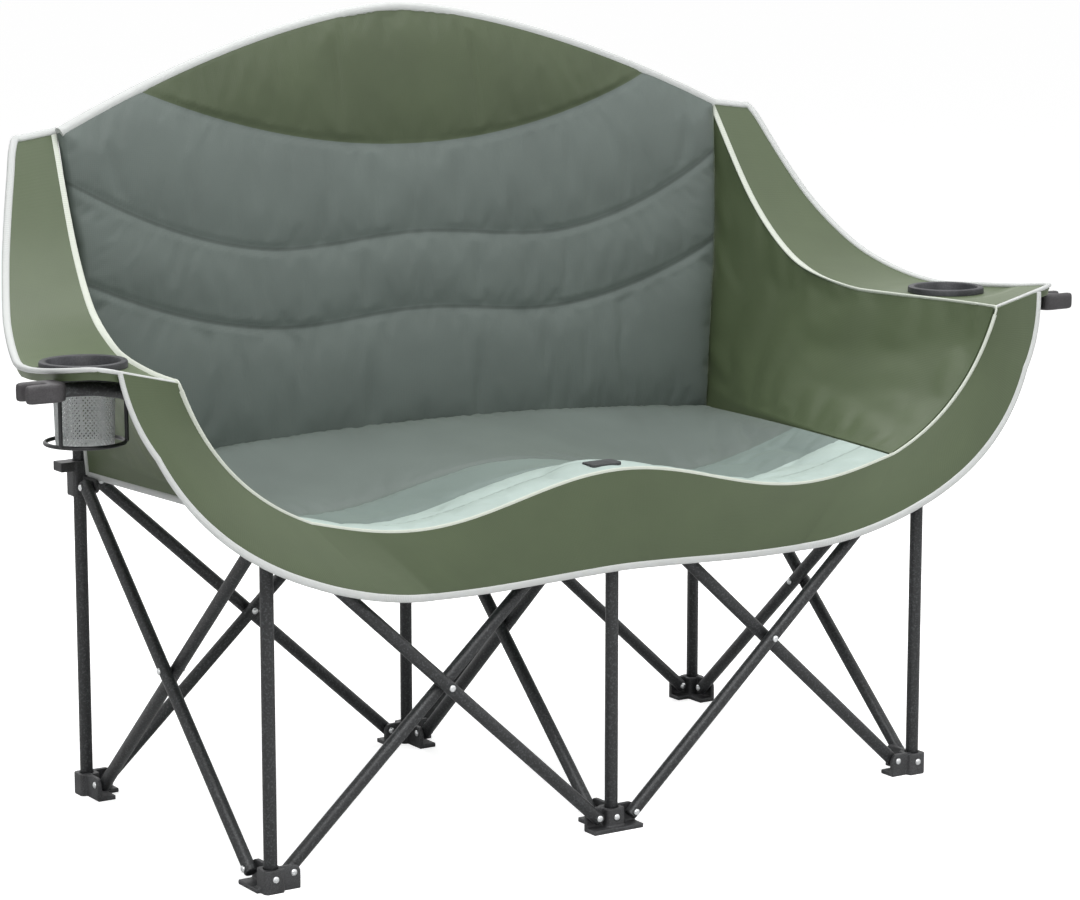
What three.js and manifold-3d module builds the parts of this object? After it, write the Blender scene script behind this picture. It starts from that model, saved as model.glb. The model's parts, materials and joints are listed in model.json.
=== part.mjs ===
// Folding camping loveseat: a padded double bucket seat on a six-legged scissor frame.
// Millimetres, +Z up, +Y to the back. The origin is on the floor below the middle of the object.

import * as THREE from 'three';
import { mergeVertices } from 'three/addons/utils/BufferGeometryUtils.js';
import Module from 'manifold-3d';

const wasm = await Module();
wasm.setup();

// Scissor frame
const BAY = 470; // from post to post along X
const LUG_X = 27; // from a post's axis to a brace pivot along X
const LUG_Y = 37; // from a post's axis to a brace pivot along Y
const PIVOT_LOW = 20; // height of the brace pivots in the feet
const PIVOT_HIGH = 401; // height of the brace pivots in the connectors
const TUBE = 16; // outer diameter of posts, braces and arm supports
const TUBE_WALL = 1.2;
const TUBE_SIDES = 8;
const BRACE_END = 7; // how far a brace runs past its pivots
const REAR_POST_TOP = 800;
const POST_SEAT = 6; // height of the post's lower end in its foot

// Moulded feet, connectors and rivets
const BLOCK = 26; // width of the block round a post
const BLOCK_ROUND = 5;
const FOOT_TOP = 28;
const FOOT_BASE = 5.5; // thickness of the sole under the braces
const CONNECTOR_DEPTH = 16; // connector below its pivots
const CONNECTOR_RISE = 28; // connector above its pivots
const SOCKET_ROOF = 7; // closed top of a front connector's socket
const EAR = 6; // thickness of a pivot ear
const EAR_ROUND = 9;
const PIN = 2.5; // radius of pivot pins and rivets
const HEAD = 5; // radius of the rivets' heads
const HEAD_RISE = 2;
const TAB_REACH = 17; // strap tab on the outer rear connectors
const TAB_RISE = 12;
const FIT = 0.3; // gap between neighbouring pieces
const BORE_FIT = 0.4; // gap round a post or a pin

// Arm supports, cup holders and glass clips
const ARM_PIVOT_OUT = 25; // from the post's axis to the arm support's pivot
const ARM_PIVOT_UP = 19; // above the brace pivots
const ARM_EAR = 5;
const ARM_Z = 602; // top of the armrest at the cup holder
const ARM_TUBE_REACH = 240; // from the post's axis to the end of the arm support
const ARM_TUBE_LIFT = 6; // rise of its straight end toward the tip
const ARM_TUBE_BACK = 38; // how far the arm support's end lies behind the front posts
const CUP_OUT = 155; // cup holder's axis from the post's axis
const CUP_BACK = 137; // cup holder's axis behind the front posts
const CUP_BORE = 41.5; // inner radius of the cup ring
const CUP_WALL = 3;
const CUP_FLANGE = 50; // radius of the flange on the armrest
const FLANGE_RISE = 8;
const SLEEVE_DROP = 18; // ring's sleeve below the armrest's top
const HOUSING_WALL = 7;
const POCKET_BASE = 34; // outer radius of the mesh pocket's bottom
const POCKET_DEPTH = 88; // pocket's bottom below the armrest's top
const POCKET_WALL = 2;
const WIRE = 2.1; // radius of the basket's wire
const HOOP = 45; // radius of the basket's hoop
const HOOP_RISE = 3; // hoop above the pocket's bottom
const BASKET_LEGS = 3;
const CLIP_LENGTH = 50;
const CLIP_WIDTH = 36;
const CLIP_HEIGHT = 22;
const CLIP_ROUND = 10; // corners of the clip's root
const CLIP_SLOT = 15;
const CLIP_ROOT = 20; // solid root that takes the tube's end
const CLIP_SOCKET = 14;

// Fabric panels and pads
const SHEET = 4; // thickness of the side panels and the front band
const ARM_SHEET = 5;
const SEAM = 0.6; // gap along a seam
const FRONT_OUT = 11; // seat's front edge in front of the front posts
const SEAT_CROWN = 18; // thickness of the seat pad
const SEAT_EDGE = 9;
const SEAT_FRONT_RISE = 17.5; // seat's front edge above the connectors, at the middle
const SEAT_DIP = 44; // how far the front edge dips at each sitter
const SEAT_SAG = 28; // how far the seat hangs through at the middle
const SEAT_BUCKET = 46; // and at each sitter
const SEAT_STRIPE = 140; // width of the front stripe, up to its sewn channel
const SEAT_SIDE = 50; // side of the seat's front edge, inside the outer posts
const SEAT_REAR = 55; // seat's rear edge in front of the rear posts
const SEAT_REAR_FALL = 24; // how far the rear edge falls towards its corners
const WALL_REAR_IN = 7; // foot of a side panel's rear edge, inside the post
const WALL_SKIRT = 11; // side panel's lower edge above the brace pivots
const WALL_REAR_GAP = 14; // side panel's rear edge in front of the rear post
const BACK_LOW = 19; // back pad's lower edge above the brace pivots
const BACK_CORNER = 838; // height of the back's upper corners
const BACK_APEX = 979; // height of the back's middle
const BACK_WIDE = 20; // back's upper corners outside the outer posts
const BACK_LOW_IN = 10; // back's lower corners inside the outer posts
const BACK_FOOT = 34; // back pad's rear face in front of the rear posts, at its lower edge
const BACK_LEAN = 63; // how far the back leans to its apex
const BACK_EDGE = 9; // thickness of the back pad at its edges and seams
const BACK_CROWN = 11; // padding on top of that
const CHANNEL = 15; // half width of a sewn channel
const CHANNEL_DEPTH = 4;
const BAND_OUT = 14; // how far the front band stands out at its middle
const BAND_LOW = 331; // front band's lower edge at the middle
const BAND_WAVE = 17; // how far that edge dips at each sitter
const BAND_BREAK = 330; // where the lower edge starts to rise
const ARM_WIDE = 231; // armrest's outer edge at its widest, outside the post
const ARM_TIP = 206; // armrest's front outer corner, outside the post
const ARM_FRONT_IN = 114; // armrest's front inner corner, outside the post
const BAND_TOP_OUT = 182; // front band's outer corner under the armrest, outside the post
const ARM_DIP = 2; // front inner corner below the armrest's top
const ARM_LIFT = 20; // front outer corner above it
const WING_SEAM = 3; // wing's seam outside the back's upper corner
const PLATE_X = 44; // clamp plate on the seat's front edge
const PLATE_Y = 26;
const PLATE_RISE = 5;
const PLATE_BACK = 23; // its middle, behind the front posts

// Worked out from the driving sizes
const SPAN = BAY - 2 * LUG_X;
const ROW = SPAN + 2 * LUG_Y;
const RISE = PIVOT_HIGH - PIVOT_LOW;
const BRACE = Math.hypot(SPAN, RISE);
const OFFSET = (TUBE + FIT) / 2; // a brace's axis from its scissor's plane
const CONNECTOR_TOP = PIVOT_HIGH + CONNECTOR_RISE;
const FRONT_Y = -ROW / 2 - FRONT_OUT;
const REAR_Y = ROW / 2 + 1;
const PANEL_FRONT_Y = FRONT_Y + 3 * SEAM; // front edge of the side panels and armrests
const SEAT_FRONT_Z = CONNECTOR_TOP + SEAT_FRONT_RISE;

const X = new THREE.Vector3(1, 0, 0);
const Y = new THREE.Vector3(0, 1, 0);
const Z = new THREE.Vector3(0, 0, 1);
const vec = (x, y, z) => new THREE.Vector3(x, y, z);
const mix = THREE.MathUtils.lerp;

// Finishes
const finish = (color, roughness, metalness) => {
  return new THREE.MeshStandardMaterial({ color, roughness, metalness });
};
const steel = finish(0x3a3a3a, 0.55, 0.6);
const plastic = finish(0x4a4a4a, 0.6, 0);
const rivet = finish(0xdcdcdc, 0.3, 1);
const green = finish(0x5d6a4b, 0.85, 0);
const backGrey = finish(0x5f6964, 0.85, 0);
const seatGrey = finish(0x747e7a, 0.85, 0);
const mesh = finish(0x8b9090, 0.8, 0);
const wire = finish(0x202020, 0.4, 0.6);

const loveseat = new THREE.Group();

function add(name, geometry, material) {
  const piece = new THREE.Mesh(geometry, material);
  piece.name = name;
  loveseat.add(piece);
  return piece;
}

// Closed geometry to a solid, and back
function solid(geometry) {
  const bare = geometry.clone();
  bare.deleteAttribute('normal');
  bare.deleteAttribute('uv');
  const merged = mergeVertices(bare, 1e-3);
  const vertProperties = Float32Array.from(merged.attributes.position.array);
  const triVerts = Uint32Array.from(merged.index.array);
  return new wasm.Manifold(new wasm.Mesh({ numProp: 3, vertProperties, triVerts }));
}

function geometryOf(body) {
  const { vertProperties, triVerts } = body.getMesh();
  const geometry = new THREE.BufferGeometry();
  geometry.setAttribute('position', new THREE.BufferAttribute(vertProperties, 3));
  geometry.setIndex(new THREE.BufferAttribute(triVerts, 1));
  return geometry;
}

function joined(geometries, cuts = []) {
  const whole = geometries.map(solid).reduce((body, next) => body.add(next));
  return geometryOf(cuts.map(solid).reduce((body, cut) => body.subtract(cut), whole));
}

// Geometry with its own X and Y laid along two given directions, moved to a point
function laid(geometry, along, up, point) {
  const basis = new THREE.Matrix4().makeBasis(along, up, along.clone().cross(up));
  return geometry.applyMatrix4(basis.setPosition(point));
}

function boxBetween(low, high) {
  const size = high.clone().sub(low);
  const middle = low.clone().add(high).multiplyScalar(0.5);
  return new THREE.BoxGeometry(size.x, size.y, size.z).translate(middle.x, middle.y, middle.z);
}

// Box over two opposite corners, given in any order
function boxOver(a, b) {
  return boxBetween(a.clone().min(b), a.clone().max(b));
}

// Round rod between two points along one axis
function rod(radius, start, end, sides = 6) {
  const run = end.clone().sub(start);
  const up = run.clone().normalize();
  const along = Math.abs(up.z) > 0.9 ? X : up.clone().cross(Z).normalize();
  const middle = start.clone().add(end).multiplyScalar(0.5);
  return laid(new THREE.CylinderGeometry(radius, radius, run.length(), sides), along, up, middle);
}

// Rod whose flats lie outside a given radius, to cut a hole that clears a round piece
function bored(radius, start, end, sides = 6) {
  return rod(radius / Math.cos(Math.PI / sides), start, end, sides);
}

function ringShape(outer, inner) {
  const shape = new THREE.Shape().absarc(0, 0, outer, 0, 2 * Math.PI);
  shape.holes.push(new THREE.Path().absarc(0, 0, inner, 0, 2 * Math.PI, true));
  return shape;
}

function roundedRectangle(width, depth, round) {
  const x = width / 2;
  const y = depth / 2;
  const shape = new THREE.Shape();
  shape.absarc(x - round, -y + round, round, -Math.PI / 2, 0);
  shape.absarc(x - round, y - round, round, 0, Math.PI / 2);
  shape.absarc(-x + round, y - round, round, Math.PI / 2, Math.PI);
  shape.absarc(-x + round, -y + round, round, Math.PI, 1.5 * Math.PI);
  return shape;
}

function extruded(shape, depth, curveSegments = 2) {
  return new THREE.ExtrudeGeometry(shape, { depth, bevelEnabled: false, curveSegments, steps: 1 });
}

const tubeShape = ringShape(TUBE / 2, TUBE / 2 - TUBE_WALL);
const tubeOf = (length) => extruded(tubeShape, length, TUBE_SIDES / 2);

// Six stations, and the seven scissors between them. A scissor's outer brace stands in the
// foot of its first station, its inner brace in the foot of its second.
const stations = {
  front_left: vec(-BAY, -ROW / 2, 0),
  front_center: vec(0, -ROW / 2, 0),
  front_right: vec(BAY, -ROW / 2, 0),
  rear_left: vec(-BAY, ROW / 2, 0),
  rear_center: vec(0, ROW / 2, 0),
  rear_right: vec(BAY, ROW / 2, 0),
};
const scissors = [
  { name: 'front_left', from: 'front_center', to: 'front_left', outward: Y.clone().negate() },
  { name: 'front_right', from: 'front_center', to: 'front_right', outward: Y.clone().negate() },
  { name: 'rear_left', from: 'rear_center', to: 'rear_left', outward: Y },
  { name: 'rear_right', from: 'rear_center', to: 'rear_right', outward: Y },
  { name: 'left_side', from: 'front_left', to: 'rear_left', outward: X.clone().negate() },
  { name: 'center', from: 'front_center', to: 'rear_center', outward: X.clone().negate() },
  { name: 'right_side', from: 'front_right', to: 'rear_right', outward: X },
];
for (const scissor of scissors) {
  scissor.along = stations[scissor.to].clone().sub(stations[scissor.from]).normalize();
  scissor.lug = Math.abs(scissor.along.x) > 0.5 ? LUG_X : LUG_Y;
}

// Every lug of one station: where it points, how far it reaches, and on which side of the
// scissor's plane its brace runs (1 outer, -1 inner)
function lugsOf(station, inFoot) {
  const first = scissors.filter((s) => s.from === station);
  const second = scissors.filter((s) => s.to === station);
  const outer = inFoot ? 1 : -1;
  return [
    ...first.map((s) => ({ along: s.along, lug: s.lug, outward: s.outward, side: outer })),
    ...second.map((s) => (
      { along: s.along.clone().negate(), lug: s.lug, outward: s.outward, side: -outer }
    )),
  ];
}

// Ear beside a brace's end, with the pin that runs through the brace
function earAndPin({ along, lug, outward, side }, pivot, floor) {
  const shape = new THREE.Shape();
  shape.moveTo(0, floor);
  shape.lineTo(floor < pivot - EAR_ROUND ? lug + EAR_ROUND : lug, floor);
  const start = floor < pivot - EAR_ROUND ? 0 : -Math.PI / 2;
  shape.absarc(lug, pivot, EAR_ROUND, start, Math.PI / 2);
  shape.lineTo(0, pivot + EAR_ROUND);
  const plate = extruded(shape, EAR, 3).translate(0, 0, -EAR / 2);
  const toward = outward.clone().multiplyScalar(side);
  const ear = laid(plate, along, Z, toward.clone().multiplyScalar(-(EAR + FIT) / 2));
  const centre = along.clone().multiplyScalar(lug).addScaledVector(Z, pivot);
  const at = (distance) => centre.clone().addScaledVector(toward, distance);
  return [ear, rod(PIN, at(-EAR / 2), at(TUBE + FIT + HEAD_RISE))];
}

// Feet: a block that holds the post, and a sole with an ear under each brace
for (const [station, place] of Object.entries(stations)) {
  const pieces = [extruded(roundedRectangle(BLOCK, BLOCK, BLOCK_ROUND), FOOT_TOP)];
  for (const lug of lugsOf(station, true)) {
    const toward = lug.outward.clone().multiplyScalar(lug.side);
    const end = lug.along.clone().multiplyScalar(lug.lug + EAR_ROUND);
    const near = toward.clone().multiplyScalar(-(EAR + FIT / 2));
    const far = toward.clone().multiplyScalar(TUBE + FIT + HEAD_RISE);
    pieces.push(boxOver(near, end.add(far).setZ(FOOT_BASE)));
    pieces.push(...earAndPin(lug, PIVOT_LOW, 0));
  }
  const bore = bored(TUBE / 2 + BORE_FIT, vec(0, 0, POST_SEAT), vec(0, 0, FOOT_TOP + 1), TUBE_SIDES);
  add(`${station}_foot`, joined(pieces, [bore]), plastic).position.copy(place);
}

// Posts: short props under the front connectors, tall ones that run up behind the back
const FRONT_POST_TOP = CONNECTOR_TOP - SOCKET_ROOF - FIT;
for (const [station, place] of Object.entries(stations)) {
  const top = place.y < 0 ? FRONT_POST_TOP : REAR_POST_TOP;
  const foot = POST_SEAT + FIT;
  add(`${station}_post`, tubeOf(top - foot), steel).position.set(place.x, place.y, foot);
}

// Connectors: sleeves round the posts that carry the braces' upper ends. The front outer ones
// also carry the arm supports, between two ears.
const ARM_PIVOT_Z = PIVOT_HIGH + ARM_PIVOT_UP;
function armEars(out) {
  const shape = new THREE.Shape();
  shape.moveTo(0, ARM_PIVOT_Z - EAR_ROUND);
  shape.absarc(ARM_PIVOT_OUT, ARM_PIVOT_Z, EAR_ROUND, -Math.PI / 2, Math.PI / 2);
  shape.lineTo(0, ARM_PIVOT_Z + EAR_ROUND);
  const reach = TUBE / 2 + FIT + ARM_EAR / 2;
  const ears = [-1, 1].map((side) => {
    const plate = extruded(shape, ARM_EAR, 3).translate(0, 0, -ARM_EAR / 2);
    return laid(plate, vec(out, 0, 0), Z, vec(0, side * reach, 0));
  });
  const pivot = vec(out * ARM_PIVOT_OUT, 0, ARM_PIVOT_Z);
  const pin = rod(PIN, pivot.clone().setY(-reach), pivot.clone().setY(reach));
  return [...ears, pin];
}

for (const [station, place] of Object.entries(stations)) {
  const low = PIVOT_HIGH - CONNECTOR_DEPTH;
  const front = place.y < 0;
  const block = extruded(roundedRectangle(BLOCK, BLOCK, BLOCK_ROUND), CONNECTOR_TOP - low);
  const pieces = [block.translate(0, 0, low)];
  for (const lug of lugsOf(station, false)) {
    pieces.push(...earAndPin(lug, PIVOT_HIGH, PIVOT_HIGH - EAR_ROUND));
  }
  const out = Math.sign(place.x);
  if (front && out) pieces.push(...armEars(out));
  if (!front && out) {
    const width = BLOCK / 2 - 1;
    const tip = vec(out * (BLOCK / 2 + TAB_REACH), width, CONNECTOR_TOP);
    pieces.push(boxOver(vec(0, -width, CONNECTOR_TOP - TAB_RISE), tip));
  }
  const roof = front ? CONNECTOR_TOP - SOCKET_ROOF : CONNECTOR_TOP + 1;
  const bore = bored(TUBE / 2 + BORE_FIT, vec(0, 0, low - 1), vec(0, 0, roof), TUBE_SIDES);
  add(`${station}_connector`, joined(pieces, [bore]), plastic).position.copy(place);
}

// Braces: tubes with a hole for each pivot, and a rivet where the two of a scissor cross
const braceHole = (height) => bored(PIN + BORE_FIT, vec(0, -TUBE, height), vec(0, TUBE, height));
const braceTube = joined(
  [tubeOf(BRACE + 2 * BRACE_END).translate(0, 0, -BRACE_END)],
  [0, BRACE / 2, BRACE].map(braceHole),
);
for (const { name, from, to, along, lug, outward } of scissors) {
  for (const [label, side] of [['outer', 1], ['inner', -1]]) {
    const start = side > 0 ? stations[from] : stations[to];
    const lean = along.clone().multiplyScalar(side);
    const foot = start.clone().addScaledVector(lean, lug).setZ(PIVOT_LOW);
    foot.addScaledVector(outward, side * OFFSET);
    const up = lean.clone().multiplyScalar(SPAN).addScaledVector(Z, RISE).normalize();
    const basis = new THREE.Matrix4().makeBasis(outward.clone().cross(up), outward, up);
    const brace = add(`${name}_brace_${label}`, braceTube, steel);
    brace.quaternion.setFromRotationMatrix(basis);
    brace.position.copy(foot);
  }
  const crossing = stations[from].clone().lerp(stations[to], 0.5).setZ((PIVOT_LOW + PIVOT_HIGH) / 2);
  const reach = TUBE + 1.5 * FIT;
  const at = (distance) => crossing.clone().addScaledVector(outward, distance);
  const pieces = [rod(PIN, at(-reach - HEAD_RISE / 2), at(reach + HEAD_RISE / 2))];
  for (const side of [-1, 1]) {
    pieces.push(rod(HEAD, at(side * reach), at(side * (reach + HEAD_RISE)), TUBE_SIDES));
  }
  add(`${name}_cross_rivet`, joined(pieces), rivet);
}

// Closed sheet between two faces that share their edges' order
function sheetBetween(cellsU, cellsV, face, reverse) {
  const points = [];
  for (const side of [face, reverse]) {
    for (let i = 0; i <= cellsU; i++) {
      for (let j = 0; j <= cellsV; j++) points.push(side(i / cellsU, j / cellsV));
    }
  }
  const half = (cellsU + 1) * (cellsV + 1);
  const at = (i, j) => i * (cellsV + 1) + j;
  const triangles = [];
  const quad = (a, b, c, d) => triangles.push(a, b, c, a, c, d);
  for (let i = 0; i < cellsU; i++) {
    for (let j = 0; j < cellsV; j++) {
      const corners = [at(i, j), at(i + 1, j), at(i + 1, j + 1), at(i, j + 1)];
      quad(...corners);
      quad(...corners.map((k) => k + half).reverse());
    }
  }
  const border = [];
  for (let i = 0; i < cellsU; i++) border.push(at(i, 0));
  for (let j = 0; j < cellsV; j++) border.push(at(cellsU, j));
  for (let i = cellsU; i > 0; i--) border.push(at(i, cellsV));
  for (let j = cellsV; j > 0; j--) border.push(at(0, j));
  border.forEach((a, k) => {
    const b = border[(k + 1) % border.length];
    quad(b, a, a + half, b + half);
  });
  let volume = 0;
  for (let k = 0; k < triangles.length; k += 3) {
    const [a, b, c] = triangles.slice(k, k + 3).map((n) => points[n]);
    volume += a.dot(b.clone().cross(c));
  }
  const geometry = new THREE.BufferGeometry().setFromPoints(points);
  geometry.setIndex(volume > 0 ? triangles : triangles.reverse());
  return geometry;
}

// Point of a surface moved along its own normal, on the side of a given direction
function raised(surface, distance, direction) {
  const step = 1e-3;
  return (u, v) => {
    const low = [Math.max(u - step, 0), Math.max(v - step, 0)];
    const high = [Math.min(u + step, 1), Math.min(v + step, 1)];
    const acrossU = surface(high[0], v).sub(surface(low[0], v));
    const acrossV = surface(u, high[1]).sub(surface(u, low[1]));
    const normal = acrossU.cross(acrossV).normalize();
    if (normal.dot(direction) < 0) normal.negate();
    return surface(u, v).addScaledVector(normal, distance);
  };
}

// Surface inside four edges: two along u, two along v
function coons(low, high, start, end) {
  const corner = [low(0), low(1), high(0), high(1)];
  return (u, v) => {
    const ruled = low(u).multiplyScalar(1 - v).addScaledVector(high(u), v);
    ruled.addScaledVector(start(v), 1 - u).addScaledVector(end(v), u);
    ruled.addScaledVector(corner[0], -(1 - u) * (1 - v)).addScaledVector(corner[1], -u * (1 - v));
    return ruled.addScaledVector(corner[2], -(1 - u) * v).addScaledVector(corner[3], -u * v);
  };
}

const onRight = (surface) => surface;
const onLeft = (surface) => (u, v) => surface(u, v).multiply(vec(-1, 1, 1));
const sides = [['left', onLeft, -1], ['right', onRight, 1]];

// Front edge of the seat and of the side panels above it
const SEAT_HALF = BAY - SEAT_SIDE;
const bucket = (x) => Math.sin((Math.PI * x) / (1.18 * BAY)) ** 2; // 1 at each sitter, 0 between them
const seatFrontZ = (x) => SEAT_FRONT_Z - SEAT_DIP * bucket(x);
const ARM_FRONT_Z = ARM_Z - ARM_DIP;
const wallRise = new THREE.QuadraticBezierCurve(
  new THREE.Vector2(SEAT_HALF, seatFrontZ(SEAT_HALF)),
  new THREE.Vector2(BAY + 0.62 * ARM_FRONT_IN, mix(seatFrontZ(SEAT_HALF), ARM_FRONT_Z, 0.28)),
  new THREE.Vector2(BAY + ARM_FRONT_IN, ARM_FRONT_Z),
);

// Armrest and wing: from the seam above the side panel to the outer edge. Each point is given as
// its distance outside the post, its share of the way from back to front, and its height.
function armCurve(points) {
  const place = ([out, share, rise]) => vec(BAY + out, mix(REAR_Y, PANEL_FRONT_Y, share), ARM_Z + rise);
  return new THREE.CatmullRomCurve3(points.map(place));
}
const WING_RISE = BACK_CORNER - ARM_Z;
const innerSeam = armCurve([
  [BACK_WIDE + WING_SEAM, 0, WING_RISE],
  [0.331 * ARM_FRONT_IN, 0.17, 0.432 * WING_RISE],
  [0.417 * ARM_FRONT_IN, 0.286, 0.186 * WING_RISE],
  [0.479 * ARM_FRONT_IN, 0.372, 0.085 * WING_RISE],
  [0.626 * ARM_FRONT_IN, 0.532, 0],
  [0.816 * ARM_FRONT_IN, 0.71, -ARM_DIP],
  [0.965 * ARM_FRONT_IN, 0.89, -ARM_DIP],
  [ARM_FRONT_IN, 1, -ARM_DIP],
]);
const outerEdge = armCurve([
  [0.355 * ARM_WIDE, 0.024, 0.97 * WING_RISE],
  [0.548 * ARM_WIDE, 0.17, 0.47 * WING_RISE],
  [0.668 * ARM_WIDE, 0.286, 0.227 * WING_RISE],
  [0.745 * ARM_WIDE, 0.372, 0.116 * WING_RISE],
  [0.861 * ARM_WIDE, 0.532, 0.014 * WING_RISE],
  [0.987 * ARM_WIDE, 0.71, 0.25 * ARM_LIFT],
  [ARM_WIDE, 0.82, 0.45 * ARM_LIFT],
  [0.987 * ARM_WIDE, 0.93, 0.8 * ARM_LIFT],
  [ARM_TIP, 1, ARM_LIFT],
]);

// Side panels: from the seat's side up to the armrest's seam, from the rear post to the front edge
const WALL_LOW = PIVOT_HIGH + WALL_SKIRT;
const wallLowRear = vec(BAY - WALL_REAR_IN, ROW / 2 - WALL_REAR_GAP, WALL_LOW);
const wallLowFront = vec(SEAT_HALF + 3, PANEL_FRONT_Y, WALL_LOW);
const SKIRT_SHARE = 0.1;
function wallFront(v) {
  const rise = wallRise.getPoint(Math.max(0, (v - SKIRT_SHARE) / (1 - SKIRT_SHARE)));
  const point = vec(rise.x, PANEL_FRONT_Y, rise.y);
  return v < SKIRT_SHARE ? wallLowFront.clone().lerp(point, v / SKIRT_SHARE) : point;
}
const wall = coons(
  (u) => wallLowRear.clone().lerp(wallLowFront, u),
  (u) => innerSeam.getPoint(u),
  (v) => wallLowRear.clone().lerp(innerSeam.getPoint(0), v),
  wallFront,
);
for (const [side, mirrored] of sides) {
  const outside = raised(wall, SHEET, vec(1, 0, -0.5));
  add(`${side}_side_panel`, sheetBetween(10, 8, mirrored(wall), mirrored(outside)), green);
}

// Armrests lie flat round their cup holders
const cupPlace = vec(BAY + CUP_OUT, -ROW / 2 + CUP_BACK, ARM_Z);
const FLAT_ROUND = CUP_FLANGE + 28;
function armrest(u, v) {
  const inner = innerSeam.getPoint(u);
  inner.x += SHEET + SEAM;
  const point = inner.lerp(outerEdge.getPoint(u), v);
  const away = Math.hypot(point.x - cupPlace.x, point.y - cupPlace.y);
  point.z = mix(ARM_Z, point.z, THREE.MathUtils.smoothstep(away, FLAT_ROUND, 1.6 * FLAT_ROUND));
  return point;
}
for (const [side, mirrored, out] of sides) {
  const under = raised(armrest, -ARM_SHEET, vec(0, -1, 1));
  const panel = sheetBetween(16, 4, mirrored(armrest), mirrored(under));
  const axis = vec(out * cupPlace.x, cupPlace.y, 0);
  const hole = bored(
    CUP_BORE + CUP_WALL + SEAM,
    axis.clone().setZ(ARM_Z - 3 * ARM_SHEET),
    axis.clone().setZ(ARM_Z + 3 * ARM_SHEET),
    20,
  );
  add(`${side}_armrest`, joined([panel], [hole]), green);
}

// Front band: hangs from the front edge, down past the connectors and up to both armrests
const bandTopShare = (BAND_TOP_OUT - ARM_FRONT_IN) / (ARM_TIP - ARM_FRONT_IN);
const BAND_TOP_Z = ARM_Z + mix(-ARM_DIP, ARM_LIFT, bandTopShare); // on the armrest's front edge
const BAND_SHARE = 0.6; // share of the band below the seat, the rest rises to the armrest
const bandLowZ = (x) => BAND_LOW - BAND_WAVE * Math.sin((Math.PI * x) / (1.36 * BAND_BREAK)) ** 2;
const bandRise = new THREE.QuadraticBezierCurve(
  new THREE.Vector2(BAND_BREAK, bandLowZ(BAND_BREAK)),
  new THREE.Vector2(BAY + 150, mix(bandLowZ(BAND_BREAK), ARM_Z, 0.15)),
  new THREE.Vector2(BAY + BAND_TOP_OUT, BAND_TOP_Z),
);
function bandEdge(share, half, height, rise) {
  if (share > BAND_SHARE) return rise.getPoint((share - BAND_SHARE) / (1 - BAND_SHARE));
  const x = (half * share) / BAND_SHARE;
  return new THREE.Vector2(x, height(x));
}
function band(u, v) {
  const share = Math.abs(2 * u - 1);
  const top = bandEdge(share, SEAT_HALF, seatFrontZ, wallRise);
  const low = bandEdge(share, BAND_BREAK, bandLowZ, bandRise);
  const point = top.lerp(low, v);
  const bulge = Math.sin((Math.PI / 2) * Math.min(1, 2 * v)) * (1 - share ** 6);
  return vec(Math.sign(2 * u - 1) * point.x, FRONT_Y - BAND_OUT * bulge, point.y);
}
const bandFace = (u, v) => band(u, v).add(vec(0, -SHEET, 0));
add('front_band', sheetBetween(30, 4, bandFace, band), green);

// Padding of a cushion: thin at its edges, full from a given distance inwards
function crown(distance, reach) {
  const share = Math.min(1, Math.max(0, distance / reach));
  return Math.sqrt(1 - (1 - share) ** 2);
}

// Seat pad, with the flat place under its clamp plate
const SEAT_REAR_Y = ROW / 2 - SEAT_REAR;
const SEAT_LENGTH = SEAT_REAR_Y - FRONT_Y;
const PLATE_Z = SEAT_FRONT_Z - 1;
const platePlace = vec(0, -ROW / 2 + PLATE_BACK, PLATE_Z);
const SEAT_CHANNEL_Y = FRONT_Y + SEAT_STRIPE;
// Place along a list of rows, which are functions of x
function onRows(rows, share, x) {
  const place = share * (rows.length - 1);
  const row = Math.min(Math.floor(place), rows.length - 2);
  return mix(rows[row](x), rows[row + 1](x), place - row);
}
const seatRows = [
  () => FRONT_Y + SEAM,
  () => FRONT_Y + 25,
  () => SEAT_CHANNEL_Y - CHANNEL,
  () => SEAT_CHANNEL_Y,
  () => SEAT_CHANNEL_Y + CHANNEL,
  () => mix(SEAT_CHANNEL_Y, SEAT_REAR_Y, 0.35),
  () => mix(SEAT_CHANNEL_Y, SEAT_REAR_Y, 0.6),
  () => SEAT_REAR_Y - 40,
  () => SEAT_REAR_Y,
];
function seatTop(u, v) {
  const y = onRows(seatRows, v, 0);
  const depth = (y - FRONT_Y) / SEAT_LENGTH;
  const half = mix(SEAT_HALF, wallLowRear.x - SEAT_REAR * 0.08, depth) - SEAM;
  const x = (2 * u - 1) * half;
  const rearZ = SEAT_FRONT_Z - 1 - SEAT_REAR_FALL * (x / BAY) ** 2;
  const hang = mix(SEAT_SAG, SEAT_BUCKET, bucket(x)) * (1 - Math.abs(2 * u - 1) ** 6);
  const sag = hang * Math.sin(Math.PI * depth);
  const groove = CHANNEL_DEPTH * Math.exp(-(((y - SEAT_CHANNEL_Y) / CHANNEL) ** 2));
  const z = mix(seatFrontZ(x), rearZ, depth) - sag - groove;
  const away = Math.hypot(x - platePlace.x, y - platePlace.y);
  return vec(x, y, mix(PLATE_Z, z, THREE.MathUtils.smoothstep(away, PLATE_X, 2 * PLATE_X)));
}
function seatUnder(u, v) {
  const point = seatTop(u, v);
  const side = (1 - Math.abs(2 * u - 1)) * SEAT_HALF;
  const inside = Math.min(side, point.y - FRONT_Y, SEAT_REAR_Y - point.y);
  point.z -= mix(SEAT_EDGE, SEAT_CROWN, crown(inside, 60));
  return point;
}
add('seat_pad', sheetBetween(22, seatRows.length - 1, seatTop, seatUnder), seatGrey);

// Clamp plate that holds the seat's front edge to the middle connector
const plate = extruded(roundedRectangle(PLATE_X, PLATE_Y, BLOCK_ROUND), PLATE_RISE);
add('front_clamp_plate', plate, plastic).position.copy(platePlace).add(vec(0, 0, FIT));

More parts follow.
